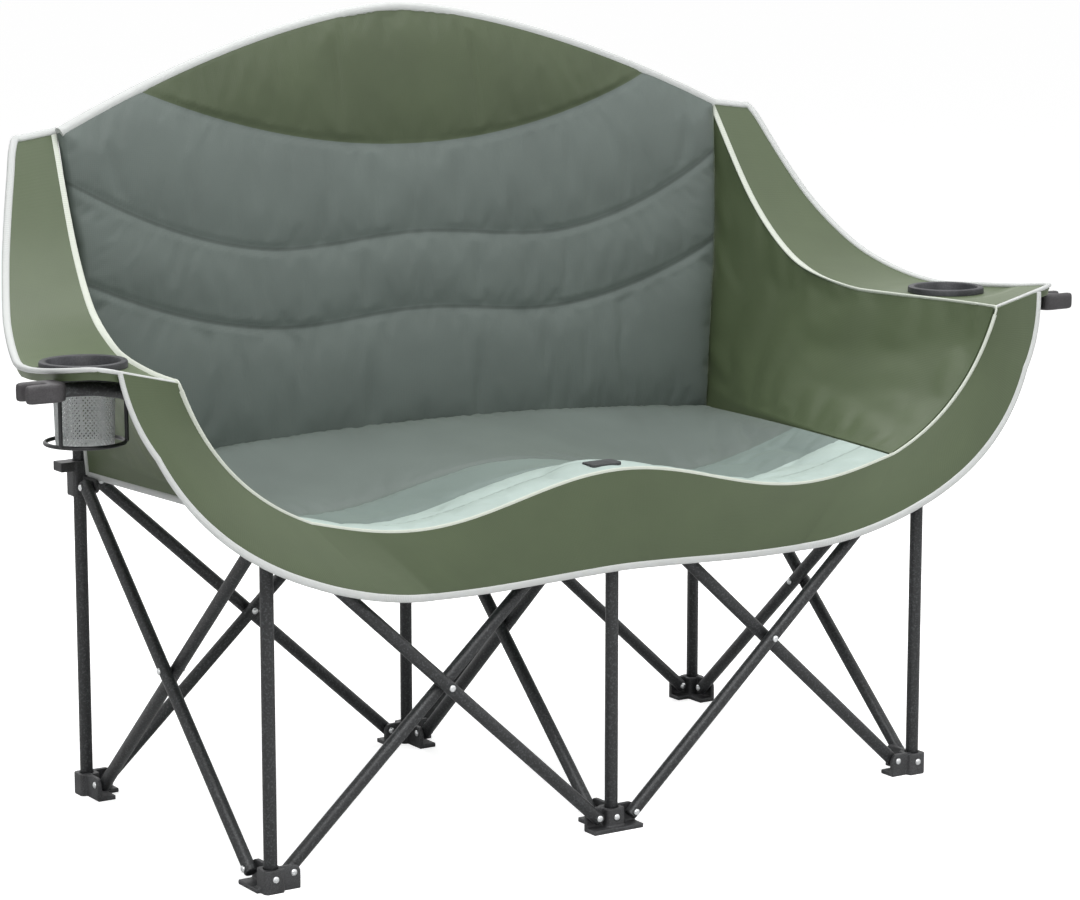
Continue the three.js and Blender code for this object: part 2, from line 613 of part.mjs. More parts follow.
// Back pad: leans back to an arched top, with two wavy sewn lines and the headrest's lower seam
const BACK_Z = PIVOT_HIGH + BACK_LOW;
const backTopZ = (x) => BACK_APEX - (BACK_APEX - BACK_CORNER) * (Math.abs(x) / (BAY + BACK_WIDE)) ** 1.6;
const sewnLine = (height, rise) => (x) => {
  const calm = 0.4 * BAY;
  const wave = 6 * Math.cos((Math.PI * Math.min(Math.abs(x), calm)) / calm);
  return height + wave + rise * (Math.max(0, Math.abs(x) - calm) / (BAY - calm)) ** 1.8;
};
const backSeams = [
  sewnLine(mix(BACK_Z, BACK_APEX, 0.287), 72),
  sewnLine(mix(BACK_Z, BACK_APEX, 0.466), 88),
  (x) => mix(BACK_Z, BACK_APEX, 0.682) + 78 * (x / (0.8 * BAY)) ** 2,
];
// Rows of the pad follow the seams, and close up where the headrest's seam meets the top
const backRows = [
  () => BACK_Z,
  () => BACK_Z + 35,
  ...backSeams.flatMap((seam) => [-CHANNEL, 0, CHANNEL, 3 * CHANNEL].map((step) => (x) => seam(x) + step)),
  (x) => backTopZ(x) - 35,
  backTopZ,
];
const lastRow = backRows.length - 1;
const ROW_GAP = 9;
const backRowZ = backRows.map((row, k) => (x) => Math.min(row(x), backTopZ(x) - ROW_GAP * (lastRow - k)));
// The pad bends back so that it meets the front of the rear posts at their tops
const POST_SHARE = (REAR_POST_TOP - BACK_Z) / (BACK_APEX - BACK_Z);
const BACK_BEND = Math.log((BACK_FOOT - TUBE / 2 - SEAM) / BACK_LEAN) / Math.log(POST_SHARE);
const backHalf = (z) => {
  const share = Math.min(1, (z - BACK_Z) / (BACK_CORNER - BACK_Z));
  return mix(BAY - BACK_LOW_IN, BAY + BACK_WIDE, share);
};
function backRear(u, v) {
  const lane = (2 * u - 1) * (BAY + BACK_WIDE);
  const z = onRows(backRowZ, v, lane);
  const lean = BACK_LEAN * ((z - BACK_Z) / (BACK_APEX - BACK_Z)) ** BACK_BEND;
  return vec((2 * u - 1) * backHalf(z), ROW / 2 - BACK_FOOT + lean, z);
}
function backFace(u, v) {
  const point = backRear(u, v);
  const lane = (2 * u - 1) * (BAY + BACK_WIDE);
  const side = (1 - Math.abs(2 * u - 1)) * BAY;
  const inside = Math.min(side, point.z - BACK_Z, backTopZ(lane) - point.z);
  const sewn = backSeams.map((seam) => Math.exp(-(((point.z - seam(lane)) / CHANNEL) ** 2)));
  point.y -= BACK_EDGE + BACK_CROWN * crown(inside, 50) * (1 - Math.max(...sewn));
  return point;
}
add('back_pad', sheetBetween(20, lastRow, backFace, backRear), backGrey);

// Arm supports: bent tubes that rise behind the front band and run out under the armrests
const ARM_TUBE_Z = ARM_Z - ARM_SHEET - TUBE / 2 - FIT + ARM_TUBE_LIFT;
function supportPath(out) {
  const start = vec(BAY + ARM_PIVOT_OUT, -ROW / 2, ARM_PIVOT_Z);
  const end = vec(BAY + ARM_TUBE_REACH, -ROW / 2 + ARM_TUBE_BACK, ARM_TUBE_Z);
  const shares = [
    [0, 0, 0],
    [0.18, 0.11, 0],
    [0.36, 0.45, 0.3],
    [0.46, 0.78, 0.6],
    [0.58, 0.94, 0.85],
    [0.72, 0.985, 1],
    [0.88, 1, 1],
    [1, 1, 1],
  ];
  const points = shares.map(([run, climb, back]) => vec(
    out * mix(start.x, end.x, run),
    mix(start.y, end.y, back),
    mix(start.z, end.z, climb),
  ));
  const first = points[0].clone().sub(points[1]).normalize();
  points.unshift(points[0].clone().addScaledVector(first, BRACE_END));
  return new THREE.CatmullRomCurve3(points);
}
for (const [side, , out] of sides) {
  const path = supportPath(out);
  const tube = new THREE.ExtrudeGeometry(tubeShape, {
    extrudePath: path,
    steps: 13,
    curveSegments: TUBE_SIDES / 2,
    bevelEnabled: false,
  });
  const pivot = vec(out * (BAY + ARM_PIVOT_OUT), -ROW / 2, ARM_PIVOT_Z);
  const across = vec(0, TUBE, 0);
  const hole = bored(PIN + BORE_FIT, pivot.clone().sub(across), pivot.clone().add(across));
  add(`${side}_arm_support`, joined([tube], [hole]), steel);
}

// Glass clips: forks pushed on the ends of the arm supports
for (const [side, , out] of sides) {
  const half = CLIP_WIDTH / 2;
  const shape = new THREE.Shape();
  const tip = (half - CLIP_SLOT / 2) / 2;
  shape.absarc(CLIP_ROUND, CLIP_ROUND - half, CLIP_ROUND, Math.PI, 1.5 * Math.PI);
  shape.absarc(CLIP_LENGTH - tip, tip - half, tip, -Math.PI / 2, Math.PI / 2);
  shape.absarc(CLIP_ROOT + CLIP_SLOT / 2, 0, CLIP_SLOT / 2, 1.5 * Math.PI, Math.PI / 2, true);
  shape.absarc(CLIP_LENGTH - tip, half - tip, tip, -Math.PI / 2, Math.PI / 2);
  shape.absarc(CLIP_ROUND, half - CLIP_ROUND, CLIP_ROUND, Math.PI / 2, Math.PI);
  const fork = extruded(shape, CLIP_HEIGHT, 5).translate(0, 0, -CLIP_HEIGHT / 2);
  const socket = bored(TUBE / 2 + BORE_FIT, vec(-1, 0, 0), vec(CLIP_SOCKET, 0, 0), TUBE_SIDES);
  const clip = add(`${side}_glass_clip`, joined([fork], [socket]), plastic);
  const root = BAY + ARM_TUBE_REACH - CLIP_SOCKET + FIT;
  clip.position.set(out * root, -ROW / 2 + ARM_TUBE_BACK, ARM_TUBE_Z);
  clip.rotation.z = out > 0 ? 0 : Math.PI;
}

// Cup holders: a ring clamped through the armrest by a housing, a mesh pocket in the ring's
// sleeve, and a wire basket under the housing
const CUP_SIDES = 18;
const lathe = (outline) => {
  const points = outline.map(([radius, height]) => new THREE.Vector2(radius, height));
  return new THREE.LatheGeometry([...points, points[0].clone()], CUP_SIDES).rotateX(Math.PI / 2);
};
const sleeve = CUP_BORE + CUP_WALL;
const housing = sleeve + FIT;
const pocketTop = CUP_BORE - FIT;
for (const [side, , out] of sides) {
  const place = vec(out * cupPlace.x, cupPlace.y, ARM_Z);
  const ring = lathe([
    [CUP_BORE, -SLEEVE_DROP],
    [sleeve, -SLEEVE_DROP],
    [sleeve, FIT],
    [CUP_FLANGE, FIT],
    [CUP_FLANGE, FIT + 0.6 * FLANGE_RISE],
    [CUP_FLANGE - 0.4 * FLANGE_RISE, FIT + FLANGE_RISE],
    [CUP_BORE, FIT + FLANGE_RISE],
  ]);
  add(`${side}_cup_ring`, ring, plastic).position.copy(place);

  const collar = lathe([
    [housing, -SLEEVE_DROP],
    [housing + HOUSING_WALL, -SLEEVE_DROP],
    [housing + HOUSING_WALL, -ARM_SHEET - FIT],
    [housing, -ARM_SHEET - FIT],
  ]);
  add(`${side}_cup_housing`, collar, plastic).position.copy(place);

  const cup = lathe([
    [0, -POCKET_DEPTH],
    [POCKET_BASE, -POCKET_DEPTH],
    [pocketTop, -SLEEVE_DROP],
    [pocketTop, -ARM_SHEET],
    [pocketTop - POCKET_WALL, -ARM_SHEET],
    [POCKET_BASE - POCKET_WALL, -POCKET_DEPTH + POCKET_WALL],
    [0, -POCKET_DEPTH + POCKET_WALL],
  ]);
  add(`${side}_mesh_pocket`, cup, mesh).position.copy(place);

  const hoopZ = -POCKET_DEPTH + HOOP_RISE;
  const pieces = [new THREE.TorusGeometry(HOOP, WIRE, 6, CUP_SIDES).translate(0, 0, hoopZ)];
  for (let k = 0; k < BASKET_LEGS; k++) {
    const turn = Math.PI / 2 + (2 * Math.PI * k) / BASKET_LEGS;
    const reach = Math.max(HOOP, housing + WIRE);
    const foot = vec(reach * Math.cos(turn), reach * Math.sin(turn), hoopZ);
    pieces.push(rod(WIRE, foot, foot.clone().setZ(-SLEEVE_DROP - FIT)));
  }
  add(`${side}_cup_basket`, joined(pieces), wire).position.copy(place);
}

export default loveseat;
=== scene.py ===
# Folding camping loveseat: a padded double seat with fabric sides and cup holders, hung on a frame
# of scissored steel tubes. Metres, +Z up, +Y to the back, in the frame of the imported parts.

import json
import math

import bmesh
import bpy
from mathutils import Matrix, Vector


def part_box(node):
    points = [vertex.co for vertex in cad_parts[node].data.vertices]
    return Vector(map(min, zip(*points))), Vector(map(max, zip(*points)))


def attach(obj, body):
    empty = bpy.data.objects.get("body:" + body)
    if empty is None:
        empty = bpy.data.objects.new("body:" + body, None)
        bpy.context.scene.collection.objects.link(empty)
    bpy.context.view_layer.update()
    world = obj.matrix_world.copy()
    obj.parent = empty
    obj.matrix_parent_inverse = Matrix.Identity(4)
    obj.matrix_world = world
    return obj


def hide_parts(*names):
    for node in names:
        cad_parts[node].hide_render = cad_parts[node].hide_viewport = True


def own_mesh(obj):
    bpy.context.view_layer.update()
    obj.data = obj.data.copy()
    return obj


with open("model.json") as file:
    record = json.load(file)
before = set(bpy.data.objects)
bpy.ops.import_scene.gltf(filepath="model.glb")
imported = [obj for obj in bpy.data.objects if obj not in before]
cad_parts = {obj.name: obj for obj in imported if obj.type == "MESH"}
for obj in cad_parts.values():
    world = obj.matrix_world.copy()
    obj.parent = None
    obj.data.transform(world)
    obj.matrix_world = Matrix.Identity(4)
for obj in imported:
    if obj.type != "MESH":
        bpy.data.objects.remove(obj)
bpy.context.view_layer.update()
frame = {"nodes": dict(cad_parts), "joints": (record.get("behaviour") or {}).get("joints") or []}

# Camera: in front of the seat and to its left, a little above the armrests, with a long lens.
lens = bpy.data.cameras.new("camera")
lens.sensor_width = 36
lens.lens = 110.2
camera = bpy.data.objects.new("camera", lens)
camera.location = (-2.187, -3.471, 1.148)
camera.rotation_euler = (math.radians(80.11), 0, math.radians(-32.86))
bpy.context.collection.objects.link(camera)
bpy.context.scene.camera = camera
bpy.context.scene.view_settings.view_transform = "Standard"


# Studio: a plain pale floor that keeps a faint shadow, a white surround, and four broad soft lamps.
# The surround lights the object evenly and shows as white to the camera and in reflections.
def linear(code):
    """A colour written as six sRGB hex digits, as linear red, green, blue and full alpha."""
    shares = [int(code[k:k + 2], 16) / 255 for k in (0, 2, 4)]
    return [s / 12.92 if s <= 0.04045 else ((s + 0.055) / 1.055) ** 2.4 for s in shares] + [1]


def add_node(tree, kind, inputs=None, **settings):
    """Adds a shader node with its settings. Each input takes a value, or a socket that is linked to it."""
    node = tree.nodes.new("ShaderNode" + kind)
    for key, value in settings.items():
        setattr(node, key, value)
    for key, value in (inputs or {}).items():
        if isinstance(value, bpy.types.NodeSocket):
            tree.links.new(value, node.inputs[key])
        else:
            node.inputs[key].default_value = value
    return node


SURROUND = 0.33  # light from all round, where 1 is white
FLOOR_HALF = 30
FLOOR_LIFT = 0.73  # light that the floor adds to the camera's view of it
world = bpy.data.worlds.new("studio_surround")
world.use_nodes = True
bpy.context.scene.world = world
ray = add_node(world.node_tree, "LightPath")
seen = add_node(world.node_tree, "Math",
                {0: ray.outputs["Is Camera Ray"], 1: ray.outputs["Is Glossy Ray"]}, operation="MAXIMUM")
seen = add_node(world.node_tree, "Math",
                {0: seen.outputs[0], 1: ray.outputs["Is Transmission Ray"]}, operation="MAXIMUM")
level = add_node(world.node_tree, "MapRange",
                 {"Value": seen.outputs[0], "To Min": SURROUND, "To Max": 1.0})
surround = world.node_tree.nodes["Background"]
surround.inputs["Color"].default_value = linear("ffffff")
world.node_tree.links.new(level.outputs["Result"], surround.inputs["Strength"])

paper = bpy.data.materials.new("studio_paper")
paper.use_nodes = True
tree = paper.node_tree
matt = add_node(tree, "BsdfDiffuse", {"Color": linear("e6e6e6")})
ray = add_node(tree, "LightPath")
lift = add_node(tree, "Math", {0: ray.outputs["Is Camera Ray"], 1: FLOOR_LIFT},
                operation="MULTIPLY")
glow = add_node(tree, "Emission", {"Strength": lift.outputs[0]})
both = add_node(tree, "AddShader", {0: matt.outputs[0], 1: glow.outputs[0]})
tree.links.new(both.outputs[0], tree.nodes["Material Output"].inputs["Surface"])
bm = bmesh.new()
bmesh.ops.create_grid(bm, x_segments=1, y_segments=1, size=FLOOR_HALF)
floor_mesh = bpy.data.meshes.new("floor")
bm.to_mesh(floor_mesh)
bm.free()
floor_mesh.materials.append(paper)
floor = bpy.data.objects.new("floor", floor_mesh)
bpy.context.collection.objects.link(floor)

for name, place, size, watts in (
    ("key_lamp", (-1.6, -2.6, 3.0), 2.2, 74),
    ("fill_lamp", (2.8, -2.2, 2.2), 2.4, 22),
    ("top_lamp", (0, -0.1, 3.4), 3.0, 82),
    ("rim_lamp", (0.6, 2.6, 2.6), 2.4, 24),
):
    lamp = bpy.data.lights.new(name, "AREA")
    lamp.size = size
    lamp.energy = watts
    holder = bpy.data.objects.new(name, lamp)
    holder.location = place
    holder.rotation_euler = (Vector((0, 0, 0.5)) - Vector(place)).to_track_quat("-Z", "Y").to_euler()
    bpy.context.collection.objects.link(holder)


# Feet and connectors: blocks of dark glass-filled nylon, moulded with an ear for each brace, which
# hold the posts upright and carry the pivots. The moulding leaves soft edges and a fine grain.
STATIONS = [f"{row}_{place}" for row in ("front", "rear") for place in ("left", "center", "right")]
GRAIN = 0.0016  # real grain is about 0.3 mm, drawn coarser so that it shows


def add_piece(name, bm, finish, crease=40):
    """Makes an object of a mesh, smooth apart from edges sharper than the crease."""
    mesh = bpy.data.meshes.new(name)
    bm.to_mesh(mesh)
    bm.free()
    mesh.materials.append(finish)
    mesh.shade_smooth()
    mesh.set_sharp_from_angle(angle=math.radians(crease))
    piece = bpy.data.objects.new(name, mesh)
    bpy.context.collection.objects.link(piece)
    return piece


def start_finish(name, roughness, metallic=0.0):
    """A new material, its node tree and its shader."""
    finish = bpy.data.materials.new(name)
    finish.use_nodes = True
    shader = finish.node_tree.nodes["Principled BSDF"]
    shader.inputs["Roughness"].default_value = roughness
    shader.inputs["Metallic"].default_value = metallic
    return finish, finish.node_tree, shader


def lay_tones(tree, shader, share, dark, pale, height=None, relief=0, depth=0):
    """Gives a shader two tones by a share, and a relief of some depth where a height is given."""
    tones = add_node(tree, "Mix", {0: share, 6: linear(dark), 7: linear(pale)}, data_type="RGBA")
    tree.links.new(tones.outputs[2], shader.inputs["Base Color"])
    if height is not None:
        bump = add_node(tree, "Bump", {"Height": height, "Strength": relief, "Distance": depth})
        tree.links.new(bump.outputs[0], shader.inputs["Normal"])


def moulded_nylon(name, dark, pale, relief=0.35):
    """Moulded nylon: matt and finely grained, a little paler where the grain catches the light."""
    finish, tree, shader = start_finish(name, 0.52)
    place = add_node(tree, "TexCoord").outputs["Object"]
    grain = add_node(tree, "TexNoise", {"Vector": place, "Scale": 1 / GRAIN, "Detail": 2})
    patch = add_node(tree, "TexNoise", {"Vector": place, "Scale": 1 / 0.03, "Detail": 3})
    tone = add_node(tree, "Math", {0: grain.outputs[0], 1: patch.outputs[0]}, operation="MULTIPLY")
    shade = add_node(tree, "MapRange",
                     {"Value": tone.outputs[0], "From Min": 0.15, "From Max": 0.38})
    lay_tones(tree, shader, shade.outputs[0], dark, pale, grain.outputs[0], relief, 0.0004)
    return finish


def soften(node, name, finish, voxel=0.0011, rounds=3):
    """A copy of a moulded part with its edges rounded as the mould leaves them."""
    bm = bmesh.new()
    bm.from_mesh(frame["nodes"][node].data)
    bmesh.ops.remove_doubles(bm, verts=bm.verts, dist=1e-5)
    piece = add_piece(name, bm, finish)
    remesh = piece.modifiers.new("mould", "REMESH")
    remesh.voxel_size = voxel
    remesh.use_smooth_shade = True
    smooth = piece.modifiers.new("edges", "SMOOTH")
    smooth.factor = 0.5
    smooth.iterations = rounds
    rounded = bpy.data.meshes.new_from_object(piece.evaluated_get(bpy.context.evaluated_depsgraph_get()))
    piece.modifiers.clear()
    piece.data = rounded
    rounded.shade_smooth()
    return piece


nylon = moulded_nylon("moulded_nylon", "29292a", "48494b")
for station in STATIONS:
    for part, body in ((f"{station}_foot", f"{station}_leg"),
                       (f"{station}_connector", f"{station}_connector")):
        block = soften(part, f"{part}_moulding", nylon)
        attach(block, body)
        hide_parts(part)


# Posts: straight steel tubes that stand in the feet, the rear ones up to the back's sleeves. The
# powder coat has a hammered texture, charcoal with paler flecks and a soft gloss.
TUBE = 0.008  # radius
FLECK = 0.0026  # real flecks are about 0.8 mm, drawn coarser so that they show


def tube_between(start, end, radius):
    """A round tube from one point to another, with softly rounded closed ends."""
    bm = bmesh.new()
    run = end - start
    place = Matrix.Translation((start + end) / 2) @ run.to_track_quat("Z", "Y").to_matrix().to_4x4()
    bmesh.ops.create_cone(bm, cap_ends=True, segments=32, radius1=radius, radius2=radius,
                          depth=run.length, matrix=place)
    rims = [e for e in bm.edges if max(len(f.verts) for f in e.link_faces) > 4]
    bmesh.ops.bevel(bm, geom=rims, offset=0.0022, offset_type="OFFSET", segments=4, profile=0.5,
                    affect="EDGES", material=-1)
    return bm


coat, tree, shader = start_finish("hammered_powder_coat", 0.42, 0.25)
place = add_node(tree, "TexCoord").outputs["Object"]
fleck = add_node(tree, "TexNoise",
                 {"Vector": place, "Scale": 1 / FLECK, "Detail": 3, "Roughness": 0.6})
spots = add_node(tree, "MapRange",
                 {"Value": fleck.outputs[0], "From Min": 0.5, "From Max": 0.72, "To Max": 0.6})
lay_tones(tree, shader, spots.outputs[0], "2b2c2d", "5c5f61", fleck.outputs[0], 0.5, 0.0006)

for station in STATIONS:
    low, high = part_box(f"{station}_post")
    foot = Vector(((low.x + high.x) / 2, (low.y + high.y) / 2, low.z))
    post = add_piece(f"{station}_post_tube", tube_between(foot, Vector((foot.x, foot.y, high.z)), TUBE), coat)
    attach(post, f"{station}_leg")
    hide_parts(f"{station}_post")


# Scissor braces: pairs of the same steel tube, crossed and riveted at their middles, one pair in
# each of the frame's seven sides. Each end is pinned in a foot or a connector.
BRACE_HALF = 0.289
SCISSORS = ["front_left", "front_right", "left_side", "center", "right_side", "rear_left", "rear_right"]
joints = {j["name"]: j for j in frame["joints"]}


def pivots(scissor):
    """Places of a scissor's crossing and of the lower pin of its outer brace."""
    foot = "frame_fold" if scissor == "front_left" else f"{scissor}_outer_pivot"
    return [Vector(joints[name]["pos_m"]) for name in (f"{scissor}_cross_pivot", foot)]


for scissor in SCISSORS:
    crossing, foot = pivots(scissor)
    slope = (crossing - foot).normalized()
    for layer, way in (("outer", slope), ("inner", Vector((-slope.x, -slope.y, slope.z)))):
        low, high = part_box(f"{scissor}_brace_{layer}")
        middle = (low + high) / 2
        bm = tube_between(middle - way * BRACE_HALF, middle + way * BRACE_HALF, TUBE)
        brace = add_piece(f"{scissor}_{layer}_brace_tube", bm, coat)
        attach(brace, f"{scissor}_brace_{layer}")
        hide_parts(f"{scissor}_brace_{layer}")


# Rivets: bright zinc-plated steel with low domed heads, through each crossing of two braces,
# through each end of a brace, and through each foot's block into the post.
HEAD = 0.0042  # radius of a rivet's head
DOME = 0.0022
OFFSET = 0.00815  # a brace's axis from the plane of its scissor
EAR = 0.0064  # outside of a pivot ear from that plane
BLOCK_HALF = 0.013
PIN_HEIGHT = 0.017  # of the pins that hold the posts in the feet

zinc, tree, shader = start_finish("zinc_plated_steel", 0.28, 1.0)
place = add_node(tree, "TexCoord").outputs["Object"]
wear = add_node(tree, "TexNoise", {"Vector": place, "Scale": 1 / 0.002, "Detail": 2})
lay_tones(tree, shader, wear.outputs[0], "c4c6c8", "eef0f0")


def add_head(bm, place, way):
    """A domed rivet head that stands on a surface at a place and faces a way."""
    turn = way.to_track_quat("Z", "Y").to_matrix().to_4x4()
    made = bmesh.ops.create_uvsphere(bm, u_segments=20, v_segments=12, radius=1)
    for vert in made["verts"]:
        vert.co.z = max(vert.co.z, -0.5) * DOME
        vert.co.x *= HEAD
        vert.co.y *= HEAD
    bmesh.ops.transform(bm, matrix=Matrix.Translation(place) @ turn, verts=made["verts"])


OUTWARD = {"front_left": (0, -1, 0), "front_right": (0, -1, 0), "rear_left": (0, 1, 0),
           "rear_right": (0, 1, 0), "left_side": (-1, 0, 0), "center": (-1, 0, 0), "right_side": (1, 0, 0)}
for scissor in SCISSORS:
    out = Vector(OUTWARD[scissor])
    middle, foot = pivots(scissor)
    across = Vector((middle.x - foot.x, middle.y - foot.y, 0))
    rise = Vector((0, 0, middle.z - foot.z))
    bm = bmesh.new()
    for side in (-1, 1):
        add_head(bm, middle + side * out * 2 * OFFSET, side * out)
        add_head(bm, middle + side * (across + rise) + out * 2 * OFFSET, out)
        add_head(bm, middle + side * (across + rise) - out * EAR, -out)
    rivets = add_piece(f"{scissor}_outer_rivets", bm, zinc)
    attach(rivets, f"{scissor}_brace_outer")
    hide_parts(f"{scissor}_cross_rivet")
    bm = bmesh.new()
    for side in (-1, 1):
        add_head(bm, middle + side * (rise - across) - out * 2 * OFFSET, -out)
        add_head(bm, middle + side * (rise - across) + out * EAR, out)
    rivets = add_piece(f"{scissor}_inner_rivets", bm, zinc)
    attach(rivets, f"{scissor}_brace_inner")
for station in STATIONS:
    low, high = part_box(f"{station}_post")
    axis = Vector(((low.x + high.x) / 2, (low.y + high.y) / 2, PIN_HEIGHT))
    bm = bmesh.new()
    way = Vector((0, math.copysign(1, axis.y), 0))
    add_head(bm, axis + way * BLOCK_HALF, way)
    rivets = add_piece(f"{station}_foot_rivets", bm, zinc)
    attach(rivets, f"{station}_leg")


# Arm supports: tubes bent in two curves, pinned to the front outer connectors. They rise behind the
# front band and run out under the armrests, where each ends in a clip.
SIDES = {"left": -1, "right": 1}
ARM_TOP = 0.602  # top of the armrest at the cup holder
ARM_START = Vector((0.495, -0.245, 0.420))
ARM_END = Vector((0.710, -0.207, 0.5947))
ARM_BENDS = [(-0.033, -0.020, 0), (0.18, 0.11, 0), (0.36, 0.45, 0.3), (0.46, 0.78, 0.6), (0.58, 0.94, 0.85),
             (0.72, 0.985, 1), (0.88, 1, 1), (1, 1, 1)]  # shares of the run out, up and back


def spline(points):
    """A smooth curve through points, as a function of the share of the way from first to last."""
    ends = [2 * points[0] - points[1], *points, 2 * points[-1] - points[-2]]

    def at(share):
        place = min(max(share, 0), 1) * (len(points) - 1)
        k = min(int(place), len(points) - 2)
        a, b, c, d = ends[k:k + 4]
        gaps = [max((q - p).length, 1e-6) ** 0.5 for p, q in ((a, b), (b, c), (c, d))]
        start = ((b - a) / gaps[0] - (c - a) / (gaps[0] + gaps[1]) + (c - b) / gaps[1]) * gaps[1]
        end = ((c - b) / gaps[1] - (d - b) / (gaps[1] + gaps[2]) + (d - c) / gaps[2]) * gaps[1]
        t = place - k
        return (b * (1 + 2 * t) * (1 - t) ** 2 + start * t * (1 - t) ** 2
                + c * t * t * (3 - 2 * t) - end * t * t * (1 - t))
    return at


def sheet_mesh(surface, across, along, size):
    """A grid laid on a surface of two shares, with a UV map in metres of cloth."""
    bm = bmesh.new()
    bmesh.ops.create_grid(bm, x_segments=across, y_segments=along, size=0.5)
    layer = bm.loops.layers.uv.new("UVMap")
    for face in bm.faces:
        for loop in face.loops:
            loop[layer].uv = ((loop.vert.co.x + 0.5) * size[0], (loop.vert.co.y + 0.5) * size[1])
    for vert in bm.verts:
        vert.co = surface(vert.co.x + 0.5, vert.co.y + 0.5)
    return bm


def cord_mesh(path, normal, width, depth, steps, sides=12, flat=1.0, taper=(1, 1)):
    """A closed strip of oval section along a path. Its width lies square to the normal, and its size
    changes from one end to the other by the shares of the taper."""
    def around(u, v):
        along = (path(min(1, u + 0.002)) - path(max(0, u - 0.002))).normalized()
        up = normal(u)
        up = (up - along * up.dot(along)).normalized()
        turn = math.tau * v
        wide = math.copysign(abs(math.cos(turn)) ** flat, math.cos(turn))
        high = math.copysign(abs(math.sin(turn)) ** flat, math.sin(turn))
        share = taper[0] + (taper[1] - taper[0]) * u
        return path(u) + (along.cross(up) * (wide * width / 2) + up * (high * depth / 2)) * share

    points = [path(k / steps) for k in range(steps + 1)]
    length = sum((b - a).length for a, b in zip(points, points[1:]))
    bm = sheet_mesh(around, steps, sides, (length, width + depth))
    bmesh.ops.remove_doubles(bm, verts=bm.verts, dist=1e-6)
    bmesh.ops.holes_fill(bm, edges=[e for e in bm.edges if e.is_boundary], sides=0)
    bmesh.ops.recalc_face_normals(bm, faces=bm.faces)
    return bm


for side, out in SIDES.items():
    bends = [Vector((out * (ARM_START.x + (ARM_END.x - ARM_START.x) * run),
                     ARM_START.y + (ARM_END.y - ARM_START.y) * back,
                     ARM_START.z + (ARM_END.z - ARM_START.z) * climb)) for run, climb, back in ARM_BENDS]
    bm = cord_mesh(spline(bends), lambda u: Vector((0, -1, 0)), 2 * TUBE, 2 * TUBE, 72, 28)
    support = add_piece(f"{side}_arm_tube", bm, coat)
    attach(support, f"{side}_arm")
    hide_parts(f"{side}_arm_support")


# Clips: forks of moulded nylon pushed on the ends of the arm tubes, with rounded prongs and an open
# slot between them. Their mould leaves a smoother face than that of the feet.
clip_nylon = moulded_nylon("clip_nylon", "353335", "454345", 0.12)
for side in SIDES:
    clip = soften(f"{side}_glass_clip", f"{side}_clip_fork", clip_nylon, 0.0009, 180)
    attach(clip, f"{side}_arm")
    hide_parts(f"{side}_glass_clip")


# Seat: one padded panel of woven polyester for both sitters, sewn from a grey field and two paler
# stripes along the front. It hangs in a shallow bucket for each sitter.
THREAD = 0.0024  # real threads are about 0.5 mm apart, drawn coarser so that they show
SEAT_FRONT_Y = -0.256
SEAT_REAR_Y = 0.201
SEAT_FRONT_HALF = 0.4165
SEAT_REAR_HALF = 0.453
SEAT_FRONT_Z = 0.4465
SEAT_REAR_Z = 0.4455
SEAT_DIP = 0.044
BUCKET_PERIOD = 0.5546
SEAT_SAG = 0.028  # at the middle
SEAT_BUCKET = 0.046  # at each sitter
SEAT_REAR_FALL = 0.024
STRIPE_SEAMS = (-0.116, -0.004)  # rear edges of the pale and of the middle stripe
STRIPE_LINE = -0.190  # sewn line along the pale stripe
STRIPE_TURN = 0.33  # from here out to the seat's sides the stripes' seams turn forward
STRIPE_SIDE = 0.46
STRIPE_BEND = 0.045
SEAT_CORNER = 0.42  # the front edge's ends from the middle
WAVE_RUN = 0.314  # a wave texture's period at a scale of 1
PLATE = Vector((0, -0.222, 0.4455))
# Half width of the shade painted along each sewn line, which fades out by 2.4 times this.
SEAM_SHADE_HALF = 0.0013  # half width of a sewn line


def mix(a, b, share):
    return a + (b - a) * share


def ease(share):
    share = min(1, max(0, share))
    return share * share * (3 - 2 * share)


def swell(distance, reach):
    """How full padding is at a distance from its edge, from 0 to 1."""
    return math.sqrt(1 - (1 - min(1, max(0, distance / reach))) ** 2)


def dip(x):
    return math.sin(math.pi * x / BUCKET_PERIOD) ** 2


def seat_front_z(x):
    return SEAT_FRONT_Z - SEAT_DIP * dip(x)


def seat_top(u, v):
    y = mix(SEAT_FRONT_Y, SEAT_REAR_Y, v)
    x = (2 * u - 1) * mix(SEAT_FRONT_HALF, SEAT_REAR_HALF, v)
    rear = SEAT_REAR_Z - SEAT_REAR_FALL * (x / 0.47) ** 2
    hang = math.sin(math.pi * v) ** (1.8 if v < 0.5 else 1)
    sag = mix(SEAT_SAG, SEAT_BUCKET, dip(x)) * (1 - abs(2 * u - 1) ** 6) * hang
    z = mix(seat_front_z(x), rear, v) - sag
    near = 1 - ease((math.hypot(x, y - PLATE.y) - 0.030) / 0.045)
    return Vector((x, y, mix(z, PLATE.z, near)))


def seat_under(u, v):
    top = seat_top(u, v)
    inside = min((1 - abs(2 * u - 1)) * 0.42, top.y - SEAT_FRONT_Y, SEAT_REAR_Y - top.y)
    top.z -= 0.009 + 0.009 * swell(inside, 0.06)
    return top


def stripe_seams(x):
    """The two seams between the seat's colours, which turn forward at the sides."""
    outer = max(0, abs(x) - STRIPE_TURN) / (STRIPE_SIDE - STRIPE_TURN)
    return [seam - STRIPE_BEND * outer ** 2 for seam in STRIPE_SEAMS]


